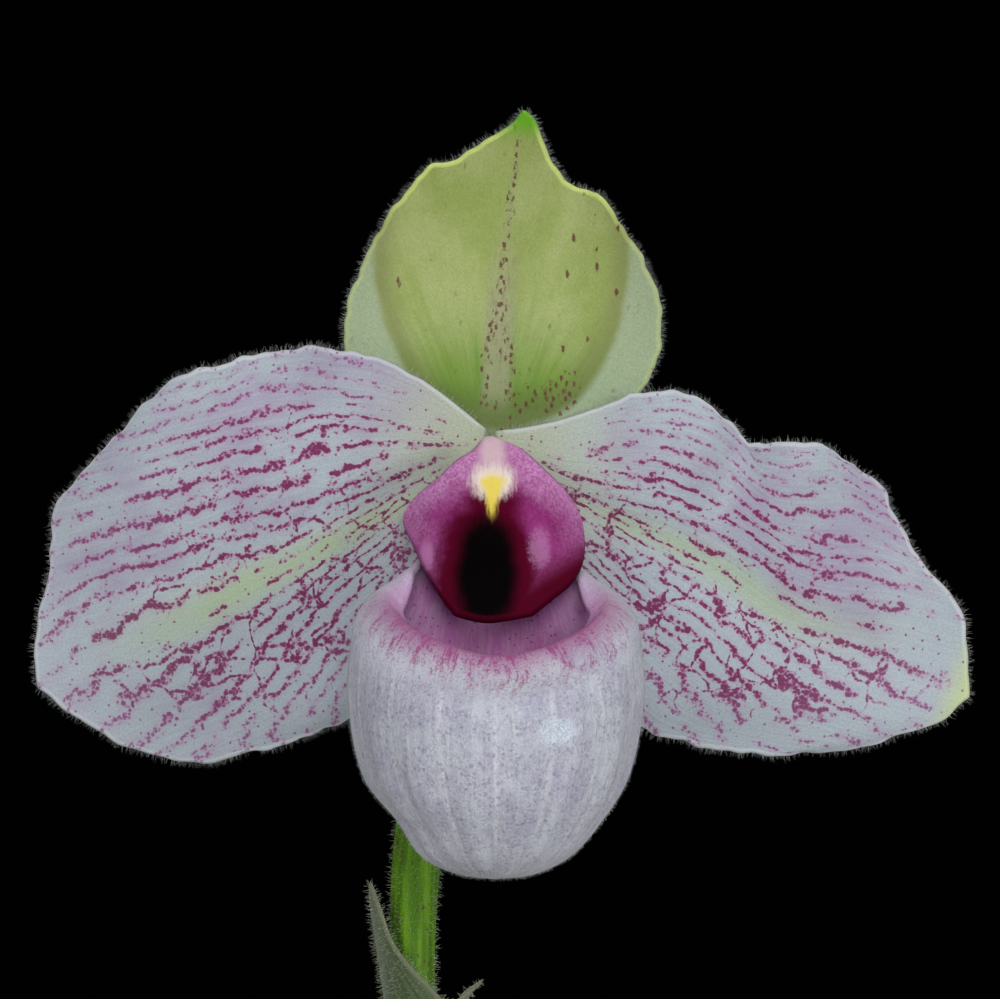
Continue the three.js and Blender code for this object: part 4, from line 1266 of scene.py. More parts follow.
def flower_blade(name, first, second, far, relief, rows, columns, ripple):
    """A finished blade of the flower, thinner towards its free margin."""
    middle, u, v = outline_lattice(first, second, far, relief, rows, columns, ripple)
    margin = np.maximum(np.abs(2 * v - 1) ** 3, u**5)
    points, faces, layers = blade_parts(middle, BLADE * lerp(1, BLADE_RIM, margin))
    return mesh_object(name, points + FLOWER, faces, layers)


def make_sepals(settings):
    hood = flower_blade("hood_sepal", SEPAL_RIGHT, SEPAL_LEFT, reversed_walk(SEPAL_TIP),
                        sepal_relief, 96, 84, SEPAL_RIPPLE)
    dress(hood, "dorsal_sepal", "sepal", sepal_finish("hood_sepal_skin", settings, 1.0))
    low = flower_blade("fused_lower_sepal", SYNSEPAL_LEFT, SYNSEPAL_RIGHT, SYNSEPAL_TIP,
                       synsepal_relief, 70, 60, SEPAL_RIPPLE)
    dress(low, "synsepal", "synsepal", sepal_finish("lower_sepal_skin", settings, -1.0))
    down = hair_finish("sepal_hair", settings.hair_root, settings.hair_tip)
    for name, source, slot in (("hood_sepal_hairs", hood, "sepal"),
                               ("lower_sepal_hairs", low, "synsepal")):
        grow_hairs(name, source, slot, down, Density=SEPAL_HAIRS, Length=settings.margin_hair,
                   Thickness=MARGIN_HAIR_THICKNESS, Seed=5)


def make_petals(settings):
    def left_relief(x, z, u, v):
        return petal_relief(x, z, u, v, 0.6)

    left = flower_blade("left_petal", LEFT_UPPER, LEFT_LOWER, LEFT_TIP, left_relief, 120, 96,
                        PETAL_RIPPLE)
    right = flower_blade("right_petal", RIGHT_LOWER, RIGHT_UPPER, reversed_walk(RIGHT_TIP),
                         right_petal_relief, 120, 96, PETAL_RIPPLE)
    down = hair_finish("petal_hair", settings.hair_root, settings.hair_tip)
    for petal, node, marks, mirrored in ((left, "petal_left", LEFT_MARKS, False),
                                         (right, "petal_right", RIGHT_MARKS, True)):
        finish = petal_finish(petal.name + "_skin", settings, marks, mirrored)
        dress(petal, node, "petal", finish)
        grow_hairs(petal.name + "_hairs", petal, "petal", down, Density=PETAL_HAIRS,
                   Length=settings.margin_hair, Thickness=MARGIN_HAIR_THICKNESS, Seed=8)


# Pouch: meridians climb from its low pole over the belly to a rolled rim, low in front
POUCH_X = 0.65
POUCH_BACK = -3.2
POUCH_FRONT = -33.0
POUCH_BELLY = -26.9
POUCH_BOTTOM = -45.9
POUCH_HALF_WIDTH = 15.5
POUCH_RIBS = 16
POUCH_DENT = 0.05
POUCH_RIM = Curve([
    (1, -27.4, -22.4), (9.4, -24, -19.9), (12.6, -18.4, -16.7), (10.9, -12, -14.6),
    (8.2, -7.4, -12.6), (5, -4.5, -10), (2.2, -3.3, -7.8), (-2, -3.3, -7.8),
    (-4.5, -4.5, -9.8), (-7.3, -7.4, -12.4), (-9.5, -12, -14.3), (-11.2, -18.2, -16.4),
    (-7.7, -24, -19.8),
], closed=True)
RIM_KNOT = 8


def pouch_meridian(turn):
    """The curve from the pouch's pole to its rolled lip at one turn, and its way outwards."""
    middle, depth = (POUCH_BACK + POUCH_FRONT) / 2, (POUCH_BACK - POUCH_FRONT) / 2
    rim = POUCH_RIM.at(np.array(turn))
    angle = math.pi * (-0.5 + 2 * turn)
    round_way = np.array([math.cos(angle), math.sin(angle), 0.0])
    back = smooth(round_way[1], 0.1, 0.95)
    front = smooth(-round_way[1], 0.1, 1)

    def ring(share, height):
        return np.array([POUCH_X + POUCH_HALF_WIDTH * share * round_way[0],
                         middle + depth * share * round_way[1], height])

    belly = POUCH_BELLY - 2.4 * front
    fall = belly - POUCH_BOTTOM
    towards = unit(np.array([POUCH_X, -15.0, rim[2]]) - rim)
    shoulder = rim + towards * lerp(-2.5, -0.3, back)
    shoulder[2] -= lerp(2, 3, back) + 0.5 * front
    roll = 1 - smooth(round_way[1], -0.1, 0.8)
    lip = rim + towards * lerp(0.15, 2.2, roll)
    lip[2] -= lerp(-0.6, 1.5, roll)
    upper = lerp(0.985, 0.97, back) - 0.02 * front
    dent = POUCH_DENT * smooth(-round_way[0], 0.3, 0.9)
    meridian = Curve([
        (POUCH_X, middle, POUCH_BOTTOM), ring(0.27, belly - fall * 0.967),
        ring(0.51, belly - fall * 0.865), ring(0.71 - dent, belly - fall * 0.68),
        ring(0.89, belly - fall * 0.44), ring(1, belly),
        ring(upper, lerp(belly, shoulder[2], 0.5)), shoulder, rim, lip,
    ])
    return meridian, angle, round_way


def make_pouch(settings, rows=88, columns=180):
    rises = np.linspace(0, 1, rows + 1)
    outer, below, ribs, ways = [], [], [], []
    for j in range(columns):
        meridian, angle, way = pouch_meridian(j / columns)
        line = meridian.at(rises)
        rib = -math.cos(angle * POUCH_RIBS) * np.sin(math.pi * np.minimum(1, rises * 1.3)) * 0.16
        outer.append(line + rib[:, None] * way)
        below.append((meridian.knot_share(RIM_KNOT) - rises) * meridian.length)
        ribs.append(np.full(rows + 1, math.cos(angle * POUCH_RIBS)))
        ways.append(np.tile(way[:2], (rows + 1, 1)))
    outer, below, ribs, ways = (np.swapaxes(np.array(k), 0, 1) for k in (outer, below, ribs, ways))
    around = np.roll(outer, -1, axis=1) - np.roll(outer, 1, axis=1)
    normal = unit(np.cross(around, np.gradient(outer, axis=0)))
    inner = outer - normal * POUCH_WALL
    lip = (outer[-1] + inner[-1]) / 2 + unit(outer[-1] - outer[-2]) * POUCH_WALL * 0.45
    pole = outer[0, 0]
    points = np.vstack([outer[1:].reshape(-1, 3), inner[1:].reshape(-1, 3), lip,
                        pole, pole + (0, 0, POUCH_WALL)])
    shell = rows * columns
    rim_start, last = 2 * shell, 2 * shell + columns
    faces = []
    for j in range(columns):
        k = (j + 1) % columns
        faces.append((last, k, j))
        faces.append((last + 1, shell + j, shell + k))
        for i in range(rows - 1):
            a, b = i * columns + j, i * columns + k
            c, d = b + columns, a + columns
            faces.append((a, b, c, d))
            faces.append((a + shell, d + shell, c + shell, b + shell))
        top_j, top_k = (rows - 1) * columns + j, (rows - 1) * columns + k
        faces.append((top_j, top_k, rim_start + k, rim_start + j))
        faces.append((rim_start + j, rim_start + k, top_k + shell, top_j + shell))
    ways, below, ribs = ways[1:].reshape(-1, 2), below[1:].ravel(), ribs[1:].ravel()
    lip_below = below[-columns:] - 0.5
    lay = np.vstack([
        np.column_stack([ways, below]),
        np.column_stack([ways, -np.abs(below) - 1]),
        np.column_stack([ways[-columns:], lip_below]),
        [[0, 0, below.max()], [0, 0, -below.max()]],
    ])
    within = np.concatenate([smooth(-below, 0.0, 1.4), np.ones(shell), np.ones(columns), [0, 1]])
    rib = np.concatenate([ribs, ribs, ribs[-columns:], [0, 0]])
    hair = np.concatenate([smooth(below, 0.5, 3.0), np.zeros(shell + columns), [1, 0]])
    layers = {"lay": lay, "within": within, "rib": rib, "hair": hair}
    pouch = mesh_object("slipper", points + FLOWER, faces, layers)
    dress(pouch, "lip_pouch", "lip", pouch_finish(settings))
    down = hair_finish("slipper_hair", settings.hair_root, settings.hair_tip)
    grow_hairs("slipper_fuzz", pouch, "lip", down, Density=POUCH_HAIRS, Length=settings.fuzz_hair,
               Thickness=FUZZ_THICKNESS, Seed=3)


# Column: its foot stands on the receptacle and it carries the shield, anthers and stigma
SHIELD_LENGTH = 18.9
SHIELD_LEFT = outline(
    (-0.7, -0.2), (-1.6, -1.3), (-3.2, -2.3), (-5.3, -4.3), (-7.7, -6.4), (-8.9, -8.2),
    (-7.7, -11.2), (-6.4, -13.8), (-4.8, -16.5), (-3.5, -18.2),
)
SHIELD_RIGHT = outline(
    (0.7, -0.2), (2.7, -0.9), (5.9, -3.7), (8, -5.9), (9.3, -8), (9.7, -10.7),
    (9.4, -13), (8.3, -14.9), (6.4, -16.5), (4.3, -18.2),
)
SHIELD_FOOT = outline((-3.5, -18.2), (-2.1, -18.6), (-0.3, -18.9), (1.6, -18.7), (4.3, -18.2))


def shield_relief(x, z, u, v):
    drop = np.clip(-z / SHIELD_LENGTH, 0, 1)
    spine = lerp(-5.8, -15.2, drop**0.55)
    off = x - 0.3
    furrow = 0.7 * np.exp(-off * off / 9) * smooth(drop, 0.3, 0.6)
    recurve = smooth(drop, 0.02, 0.4) * (1 - 0.45 * smooth(drop, 0.45, 0.75))
    return spine + 0.055 * off * off * recurve + furrow


def make_column(settings):
    middle, u, v = outline_lattice(SHIELD_LEFT, SHIELD_RIGHT, SHIELD_FOOT.at, shield_relief, 72, 64)
    margin = np.maximum(np.abs(2 * v - 1) ** 4, u**8)
    points, faces, layers = blade_parts(middle, SHIELD_THICKNESS * lerp(1, 0.55, margin))
    parts = [(points, faces, {"edge": layers["edge"], "flesh": np.zeros(len(points))})]
    trunk = limb_parts(
        Curve([(0, -GAP, -3), (0, -3.4, -2.8), (0, -6, -4.2), (0.2, -9.8, -8.4)]),
        40, 28, lambda share: lerp(1.15, 2.4, smooth(share, 0.28, 0.62)))
    balls = [
        ball_parts((-2.7, -7.2, -6.4), (1.2, 1.7, 1.2), 0.5),
        ball_parts((3, -7.2, -6.4), (1.2, 1.7, 1.2), 0.5),
        ball_parts((0.2, -8.3, -9.4), (2.3, 2.5, 1.3), 0.7),
    ]
    for points, faces, _ in [trunk] + balls:
        count = len(points)
        parts.append((points, faces, {"edge": np.full(count, 9.0), "flesh": np.ones(count)}))
    points, faces, layers = merge_parts(parts)
    column = mesh_object("shield_and_column", points + FLOWER, faces, layers)
    dress(column, "column_shield", "shield", shield_finish(settings))


# Stalk and bracts

STALK_PATH = Curve([
    (0, 0, BARK_TOP - ROOT_DEPTH + GAP), (0, 0, 112), (-0.5, -0.4, 170),
    FLOWER + (-7.4, 10.6, -72), FLOWER + (-8.3, 11, -52), FLOWER + (-7.2, 12, -38),
    FLOWER + (-4.6, 11.6, -20), FLOWER + (-1.4, 8.6, -7), FLOWER + (0, 4, -2.7),
    FLOWER + (0, 1.6, -2.5), FLOWER + (0, 0, -2.5),
])


def polyline(name, points):
    """An object that is one open chain of edges."""
    mesh = bpy.data.meshes.new(name)
    mesh.from_pydata((np.asarray(points, float) * MM).tolist(),
                     [(k, k + 1) for k in range(len(points) - 1)], [])
    return new_object(name, mesh)


def add_layer(made, name, values):
    layer = made.data.attributes.new(name, "FLOAT", "POINT")
    layer.data.foreach_set("value", values.astype(np.float32))


def mesh_points(made):
    """The points of an object's mesh, in millimetres."""
    points = np.empty(len(made.data.vertices) * 3, np.float32)
    made.data.vertices.foreach_get("co", points)
    return points.reshape(-1, 3) / MM


def make_stalk(settings):
    stalk = polyline("ribbed_stalk", STALK_PATH.samples)
    stalk_recipe().run(stalk, STALK_SIZES, stalk_finish(settings))
    height = mesh_points(stalk)[:, 2]
    add_layer(stalk, "hair", lerp(0.5, 1, smooth(height, 190, 240)) * smooth(height, 95, 105)
              * (1 - smooth(height, 285, 292)))
    dress(stalk, "flower_stalk", "stalk")
    down = hair_finish("stalk_hair", settings.stalk_hair, settings.hair_tip)
    grow_hairs("stalk_hairs", stalk, "stalk", down, Density=STALK_HAIRS,
               Length=settings.stalk_hair_length, Thickness=STALK_HAIR_THICKNESS, Lean=0.6, Seed=2)


def clasping_lattice(spine, side, width, angle, ripple, rows, columns):
    """A blade that wraps round its spine by an angle and opens as the angle falls."""
    s, v = lattice(rows, columns)
    across = 2 * v - 1
    tangent = spine.tangent(s)
    left = unit(side - tangent * (tangent @ side)[..., None])
    upper = np.cross(tangent, left)
    bend = angle(s)
    bow = width(s) / bend
    lift = bow * (1 - np.cos(bend * across)) + ripple(s, across)
    return (spine.at(s) + left * (bow * np.sin(bend * across))[..., None]
            + upper * lift[..., None]), s, v


def stalk_axis(height):
    """The stalk's middle at one height."""
    order = STALK_PATH.samples[STALK_PATH.samples[:, 2] < FLOWER[2] - 10]
    return np.array([np.interp(height, order[:, 2], order[:, k]) for k in (0, 1)] + [height])


def make_bract(name, node, settings, facing, route, wrap, breadth):
    out = np.array([math.cos(facing), math.sin(facing), 0.0])
    side = np.array([-out[1], out[0], 0.0])
    clasp = route[0][0]
    spine = Curve([stalk_axis(FLOWER[2] + height) + out * reach for reach, height in route])
    full = clasp * wrap

    def width(s):
        return lerp(full, breadth, smooth(s, 0.2, 0.75)) * (1.05 - s**4)

    def angle(s):
        return width(s) / lerp(clasp, clasp * 2, smooth(s, 0.15, 0.6))

    middle, s, v = clasping_lattice(spine, side, width, angle, lambda s, across: 0 * s, 60, 44)
    margin = np.maximum(np.abs(2 * v - 1) ** 3, s**5)
    points, faces, layers = blade_parts(middle, BRACT_THICKNESS * lerp(1, 0.5, margin))
    layers["hair"] = layers["hair"] + 0.12 * (layers["lay"][:, 2] > 0.5)
    bract = mesh_object(name, points, faces, layers)
    dress(bract, node, "bract", bract_finish(settings))
    down = hair_finish(name + "_hair", settings.stalk_hair, settings.hair_tip)
    grow_hairs(name + "_hairs", bract, "bract", down, Density=BRACT_HAIRS,
               Length=settings.stalk_hair_length, Thickness=STALK_HAIR_THICKNESS, Seed=4)


def make_bracts(settings):
    make_bract("upper_clasping_bract", "bract_upper", settings, math.radians(207),
               [(3, -67), (3, -61), (3.2, -57), (4.1, -52.5), (5.3, -47.7)], 2.2, 2.1)
    make_bract("lower_clasping_bract", "bract_lower", settings, math.radians(-25),
               [(2.75, -80), (2.8, -73), (4.3, -67.5), (4.8, -62), (6, -59.6), (7.8, -58.2)],
               2.1, 1.7)


# Leaves: (rank, facing, length, rise in degrees, sway, breadth)
LEAVES = [
    (0, 1, 122, 12, -34, 38), (0, -1, 128, 9, 30, 40), (1, 1, 118, 34, 30, 38),
    (1, -1, 112, 38, -28, 37), (2, 1, 94, 58, -14, 32), (2, -1, 84, 62, 12, 29),
]


def make_leaf(number, finish, rank, facing, length, rise, sway, breadth):
    foot = BARK_TOP - ROOT_DEPTH + GAP
    sheath_radius = CROWN_RADIUS - LEAF_PITCH * (rank + 0.5) + GAP / 2
    collar = foot + ROOT_DEPTH + 11 + 5 * rank
    lean = math.radians(rise)

    def turn(out, height, drift):
        return facing * (sheath_radius + out), drift, height

    flat, steep = length * math.cos(lean), math.sin(lean)
    spine = Curve([
        turn(0, foot, 0), turn(0, collar - 10, 0), turn(0.5, collar, 0),
        turn(flat * 0.07 + 2, collar + length * 0.14, sway * 0.03),
        turn(flat * 0.36, collar + length * (0.2 + 0.28 * steep), sway * 0.22),
        turn(flat * 0.72, collar + length * (0.1 + 0.6 * steep), sway * 0.62),
        turn(flat, collar + length * (-0.08 + 0.78 * steep), sway),
    ])
    opening = (collar - foot) / spine.length
    sheath_width = sheath_radius * SHEATH_ANGLE

    def along_blade(s):
        return np.clip((s - opening) / (1 - opening), 0, 1)

    def width(s):
        along = along_blade(s)
        taper = (1 - np.clip((along - 0.45) / 0.55, 0, 1) ** 2.4) ** 0.62
        full = breadth / 2 * lerp(0.7, 1, smooth(along, 0.1, 0.5)) * taper + 0.6
        return lerp(sheath_width, full, smooth(along, 0.02, 0.3))

    def angle(s):
        return lerp(SHEATH_ANGLE, BLADE_ANGLE, smooth(along_blade(s), 0.02, 0.32))

    def ripple(s, across):
        along = along_blade(s)
        wave = np.sin(along * 13 + rank * 2 + facing) * across * across
        groove = -0.5 * np.exp(-((across / 0.07) ** 2)) * smooth(along, 0.1, 0.3)
        return 0.9 * wave * smooth(along, 0.25, 0.5) + groove * (1 - smooth(along, 0.9, 1))

    side = np.array([0.0, facing, 0.0])
    middle, s, v = clasping_lattice(spine, side, width, angle, ripple, 110, 36)
    margin = np.maximum(np.abs(2 * v - 1) ** 4, s**12) * smooth(along_blade(s), 0.0, 0.3)
    points, faces, layers = blade_parts(middle, LEAF_THICKNESS * lerp(1, 0.5, margin))
    leaf = mesh_object(f"mottled_leaf_{number}", points, faces, layers)
    dress(leaf, f"leaf_{number}", "leaf", finish)


# Bark mix

BARK_CHIPS = 52
CHIP_SIZE = (16.0, 11.0, 7.0)
CHIP_CORNERS = [
    (1, 1, 1), (1, 1, -1), (1, -1, 1), (1, -1, -1),
    (-1, 1, -1), (-1, 1, 1), (-1, -1, -1), (-1, -1, 1),
]


def seeded(state):
    """Repeatable numbers from 0 to 1."""
    while True:
        state = (state * 1664525 + 1013904223) % 2**32
        yield state / 2**32


def inside_radius(height):
    share = (height - POT_FLOOR) / (POT_HEIGHT - POT_FLOOR)
    return lerp(POT_BASE_RADIUS - POT_WALL + 1, POT_TOP_RADIUS - POT_WALL, share)


def bed_radius(height):
    return inside_radius(height) - GAP - 0.15


def turn_about(axis, angle):
    """The matrix of a turn about axis 0, 1 or 2."""
    c, s = math.cos(angle), math.sin(angle)
    a, b = (axis + 1) % 3, (axis + 2) % 3
    matrix = np.eye(3)
    matrix[a, a], matrix[a, b], matrix[b, a], matrix[b, b] = c, -s, s, c
    return matrix


def rough_block(corners, cuts, numbers):
    """A block between eight corners with rounded, chipped sides: points, faces, local points."""
    grid = {}
    faces, local = [], []

    def index(spot):
        key = tuple(np.round(spot, 5))
        if key not in grid:
            grid[key] = len(local)
            local.append(spot)
        return grid[key]

    ways = np.linspace(-1, 1, cuts + 1)
    for axis in range(3):
        axes = [axis, (axis + 1) % 3, (axis + 2) % 3]
        for side in (-1, 1):
            for i in range(cuts):
                for j in range(cuts):
                    ring = []
                    for a, b in ((i, j), (i + 1, j), (i + 1, j + 1), (i, j + 1)):
                        spot = np.zeros(3)
                        spot[axes] = side, ways[a], ways[b]
                        ring.append(index(spot))
                    faces.append(tuple(ring if side > 0 else ring[::-1]))
    local = np.array(local)
    rounding = np.linalg.norm(local, axis=1, keepdims=True)
    rounded = local * lerp(1, 1.28 / rounding, np.clip((rounding - 1.28) / 0.45, 0, 1) * 0.75)
    points = np.zeros_like(rounded)
    for sign, corner in zip(CHIP_CORNERS, corners):
        weight = np.prod((1 + rounded * np.array(sign)) / 2, axis=1)
        points += weight[:, None] * corner
    seed = next(numbers) * 40
    flakes = np.sin(local[:, 2] * 9 + seed + 1.5 * np.sin(local[:, 0] * 3 + seed))
    dents = np.sin(local[:, 0] * 5 + seed) * np.sin(local[:, 1] * 6 + seed * 2)
    push = 0.16 * flakes * (np.abs(local[:, 2]) < 0.95) + 0.22 * dents
    points += unit(points - points.mean(axis=0)) * push[:, None]
    return points, faces, local


def make_chips(settings):
    """Rough chips in a spiral, tipped at random and held between the crown and the pot's wall."""
    numbers = seeded(7)
    extra = seeded(29)
    golden = math.pi * (3 - math.sqrt(5))
    parts = []
    for i in range(BARK_CHIPS):
        corners = []
        for sign in CHIP_CORNERS:
            half = np.array(sign) * CHIP_SIZE / 2
            squeeze = np.array([0.62 + 0.42 * next(numbers) for _ in range(3)])
            root = CHIP_SIZE[2] if sign[2] < 0 else 0
            corners.append(half * squeeze - (0, 0, root))
        turn = turn_about(0, (next(numbers) - 0.5) * 0.7)
        turn = turn_about(1, (next(numbers) - 0.5) * 0.7) @ turn
        turn = turn_about(2, next(numbers) * math.pi) @ turn
        reach = bed_radius(BARK_TOP) * math.sqrt((i + 1.5) / BARK_CHIPS)
        angle = i * golden
        height = BARK_TOP - 1.6 + 1.5 * next(numbers) + 1.4 * float(smooth(reach, 12, 22))
        centre = np.array([reach * math.cos(angle), reach * math.sin(angle), height])
        points, faces, local = rough_block(np.array(corners), 7, extra)
        tone = np.full(len(points), next(extra))
        grain = local * CHIP_SIZE + next(extra) * 90
        parts.append((points @ turn.T + centre, faces, {"grain": grain, "tone": tone}))
    points, faces, layers = merge_parts(parts)
    radius = np.linalg.norm(points[:, :2], axis=1)
    wall = bed_radius(np.minimum(points[:, 2], POT_HEIGHT)) - 0.1
    inner = CROWN_RADIUS + GAP
    held = np.clip(radius, inner, wall) / np.maximum(radius, 1e-6)
    points[:, :2] *= held[:, None]
    chips = mesh_object("bark_chips", points, faces, layers)
    chips.data.materials.append(bark_finish(settings))
    ride_root(chips, "bark")


def make_bed(settings):
    """One turned plug with a socket for the crown, and crumbs on its top."""
    foot = POT_FLOOR + GAP
    socket = CROWN_RADIUS + GAP
    profile = [
        (0, foot), (bed_radius(foot) - 2, foot), (bed_radius(foot + 3), foot + 3),
        (bed_radius(BARK_TOP), BARK_TOP), (socket, BARK_TOP),
        (socket, BARK_TOP - ROOT_DEPTH), (0, BARK_TOP - ROOT_DEPTH),
    ]
    bed = turned_mesh("bark_bed", profile, 72, 3.0)
    height = mesh_points(bed)[:, 2]
    reach = np.linalg.norm(mesh_points(bed)[:, :2], axis=1)
    add_layer(bed, "hair", ((height > BARK_TOP - 0.5) & (reach > socket + 1)).astype(float))
    dress(bed, "bark_mix", "bark", soil_finish(settings))
    grow_crumbs("bark_crumbs", bed, bark_finish(settings), settings)


def turned_mesh(name, profile, sides, step):
    """A profile of (radius, height) pairs turned about +Z, closed at its two ends on the axis."""
    knots = np.asarray(profile, float)
    line = [knots[0]]
    for start, end in zip(knots[:-1], knots[1:]):
        count = max(1, int(round(np.linalg.norm(end - start) / step)))
        line.extend(lerp(start, end, k / count) for k in range(1, count + 1))
    line = np.array(line)
    angles = np.arange(sides) / sides * math.tau
    body = line[1:-1]
    points = np.stack([body[:, :1] * np.cos(angles), body[:, :1] * np.sin(angles),
                       np.repeat(body[:, 1:], sides, axis=1)], axis=-1).reshape(-1, 3)
    points = np.vstack([points, (0, 0, line[0][1]), (0, 0, line[-1][1])])
    return mesh_object(
        name, points, tube_faces(len(body), sides, len(points) - 2, len(points) - 1))


def grow_crumbs(name, source, material, settings):
    holder = new_object(name, source.data.copy())
    crumb_recipe().run(holder, dict(CRUMB_SIZES, Density=settings.crumb_density), material)
    points = mesh_points(holder)
    grain = holder.data.attributes.new("grain", "FLOAT_VECTOR", "POINT")
    grain.data.foreach_set("vector", points.astype(np.float32).ravel())
    ride_root(holder, "bark")


def outside_radius(height):
    return lerp(POT_BASE_RADIUS, POT_TOP_RADIUS, height / POT_HEIGHT)


def make_pot(settings):
    collar_foot = POT_HEIGHT - COLLAR_HEIGHT
    collar = outside_radius(collar_foot) + COLLAR_DEPTH
    lip = POT_TOP_RADIUS + COLLAR_DEPTH
    profile = [
        (0, 0), (POT_BASE_RADIUS - 1.5, 0), (POT_BASE_RADIUS - 0.4, 0.4), (POT_BASE_RADIUS, 1.5),
        (outside_radius(collar_foot), collar_foot), (collar - 0.8, collar_foot + 0.3),
        (collar - 0.15, collar_foot + 0.8), (collar, collar_foot + 1.5),
        (lip, POT_HEIGHT - 1.8), (lip - 0.5, POT_HEIGHT - 0.5), (lip - 1.6, POT_HEIGHT),
        (inside_radius(POT_HEIGHT) + 1.6, POT_HEIGHT),
        (inside_radius(POT_HEIGHT) + 0.4, POT_HEIGHT - 0.5),
        (inside_radius(POT_HEIGHT - 1.6), POT_HEIGHT - 1.6),
        (inside_radius(POT_FLOOR + 2), POT_FLOOR + 2), (inside_radius(POT_FLOOR) - 2, POT_FLOOR),
        (0, POT_FLOOR),
    ]
    pot = polyline("clay_pot", [(radius, 0, height) for radius, height in profile])
    pot_recipe().run(pot, POT_SIZES, clay_finish(settings))
    dress(pot, "pot", "clay")


# Frame calls


def ride_root(made, slot):
    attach(made, "root")


def dress(made, node, slot, finish=None):
    """A finished piece that stands for a node of the frame."""
    if finish is not None:
        made.data.materials.append(finish)
    ride_root(made, slot)
    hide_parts(node)


# Stage


# Each softbox's place and width in metres, and what they aim at, from the flower's middle
SOFTBOXES = {
    "front": ((0.06, -0.95, 0.46), 0.3),
    "left": ((-0.6, -0.7, 0.6), 0.42),
    "right": ((0.72, -0.66, 0.42), 0.3),
    "top": ((0.0, -0.15, 1.05), 0.6),
    "back": ((0.3, 0.8, 0.7), 0.5),
}
LIGHT_AIM = (0, 0, -0.012)
SENSOR_WIDTH = 36.0
CAMERA_RIGHT = 0.001065
CAMERA_RISE = -0.0063
FLOOR_HALF = 900


def make_stage(settings):
    scene = bpy.context.scene
    scene.view_settings.view_transform = "Standard"
    scene.view_settings.look = "None"
    corners = np.array([(-1.0, -1, 0), (1, -1, 0), (1, 1, 0), (-1, 1, 0)]) * FLOOR_HALF
    floor = mesh_object("studio_floor", corners, [(0, 1, 2, 3)])
    board = Finish("studio_paper")
    tooth = board.noise(board.place(), 0.4, 3.0)
    pale = board.mix(tooth, settings.floor, tuple(0.97 * k for k in settings.floor))
    floor.data.materials.append(board.surface(pale, 0.85, board.relief(tooth, 0.1)))

    world = bpy.data.worlds.new("studio_air")
    world.use_nodes = True
    air = Board(world.node_tree)
    air.tree.nodes.clear()
    seen = air.node("ShaderNodeLightPath", None, None, "Is Camera Ray")
    soft = air.node("ShaderNodeBackground", None,
                    {"Color": (0.93, 0.96, 1.0, 1.0), "Strength": settings.air_light})
    dark = air.node("ShaderNodeBackground", None,
                    {"Color": (0.0003, 0.0003, 0.0003, 1.0), "Strength": 1.0})
    both = air.node("ShaderNodeMixShader", None, {0: seen, 1: soft, 2: dark})
    air.node("ShaderNodeOutputWorld", None, {"Surface": both})
    scene.world = world

    flower = Vector(FLOWER * MM)
    aim = flower + Vector(LIGHT_AIM)
    for side, (place, size) in SOFTBOXES.items():
        light = bpy.data.lights.new(side + "_softbox", "AREA")
        light.shape = "DISK"
        light.size = size
        light.energy = getattr(settings, side + "_light")
        holder = new_object(side + "_softbox", light)
        holder.location = place
        holder.rotation_euler = (aim - holder.location).to_track_quat("-Z", "Y").to_euler()

    lens = bpy.data.cameras.new("portrait_camera")
    lens.sensor_width = SENSOR_WIDTH
    lens.lens = SENSOR_WIDTH * settings.camera_distance / settings.view_width
    lens.clip_start = 0.01
    camera = new_object("portrait_camera", lens)
    camera.location = flower + Vector((CAMERA_RIGHT, -settings.camera_distance, CAMERA_RISE))
    camera.rotation_euler = (math.pi / 2, 0, 0)
    scene.camera = camera


# Settings


def colour(name, description, red, green, blue):
    return bpy.props.FloatVectorProperty(
        name=name, description=description, subtype="COLOR", size=3, min=0, max=1,
        default=paint(red, green, blue))


def length(name, description, value):
    return bpy.props.FloatProperty(
        name=name, description=description, unit="LENGTH", min=0, precision=5, default=value)


def power(name, description, value):
    return bpy.props.FloatProperty(
        name=name, description=description, unit="POWER", min=0, default=value)


class Settings:
    """Reads a property group, with each colour as a plain tuple."""

    def __init__(self, group):
        self.group = group

    def __getattr__(self, name):
        value = getattr(self.group, name)
        return value if isinstance(value, (int, float)) else tuple(value)


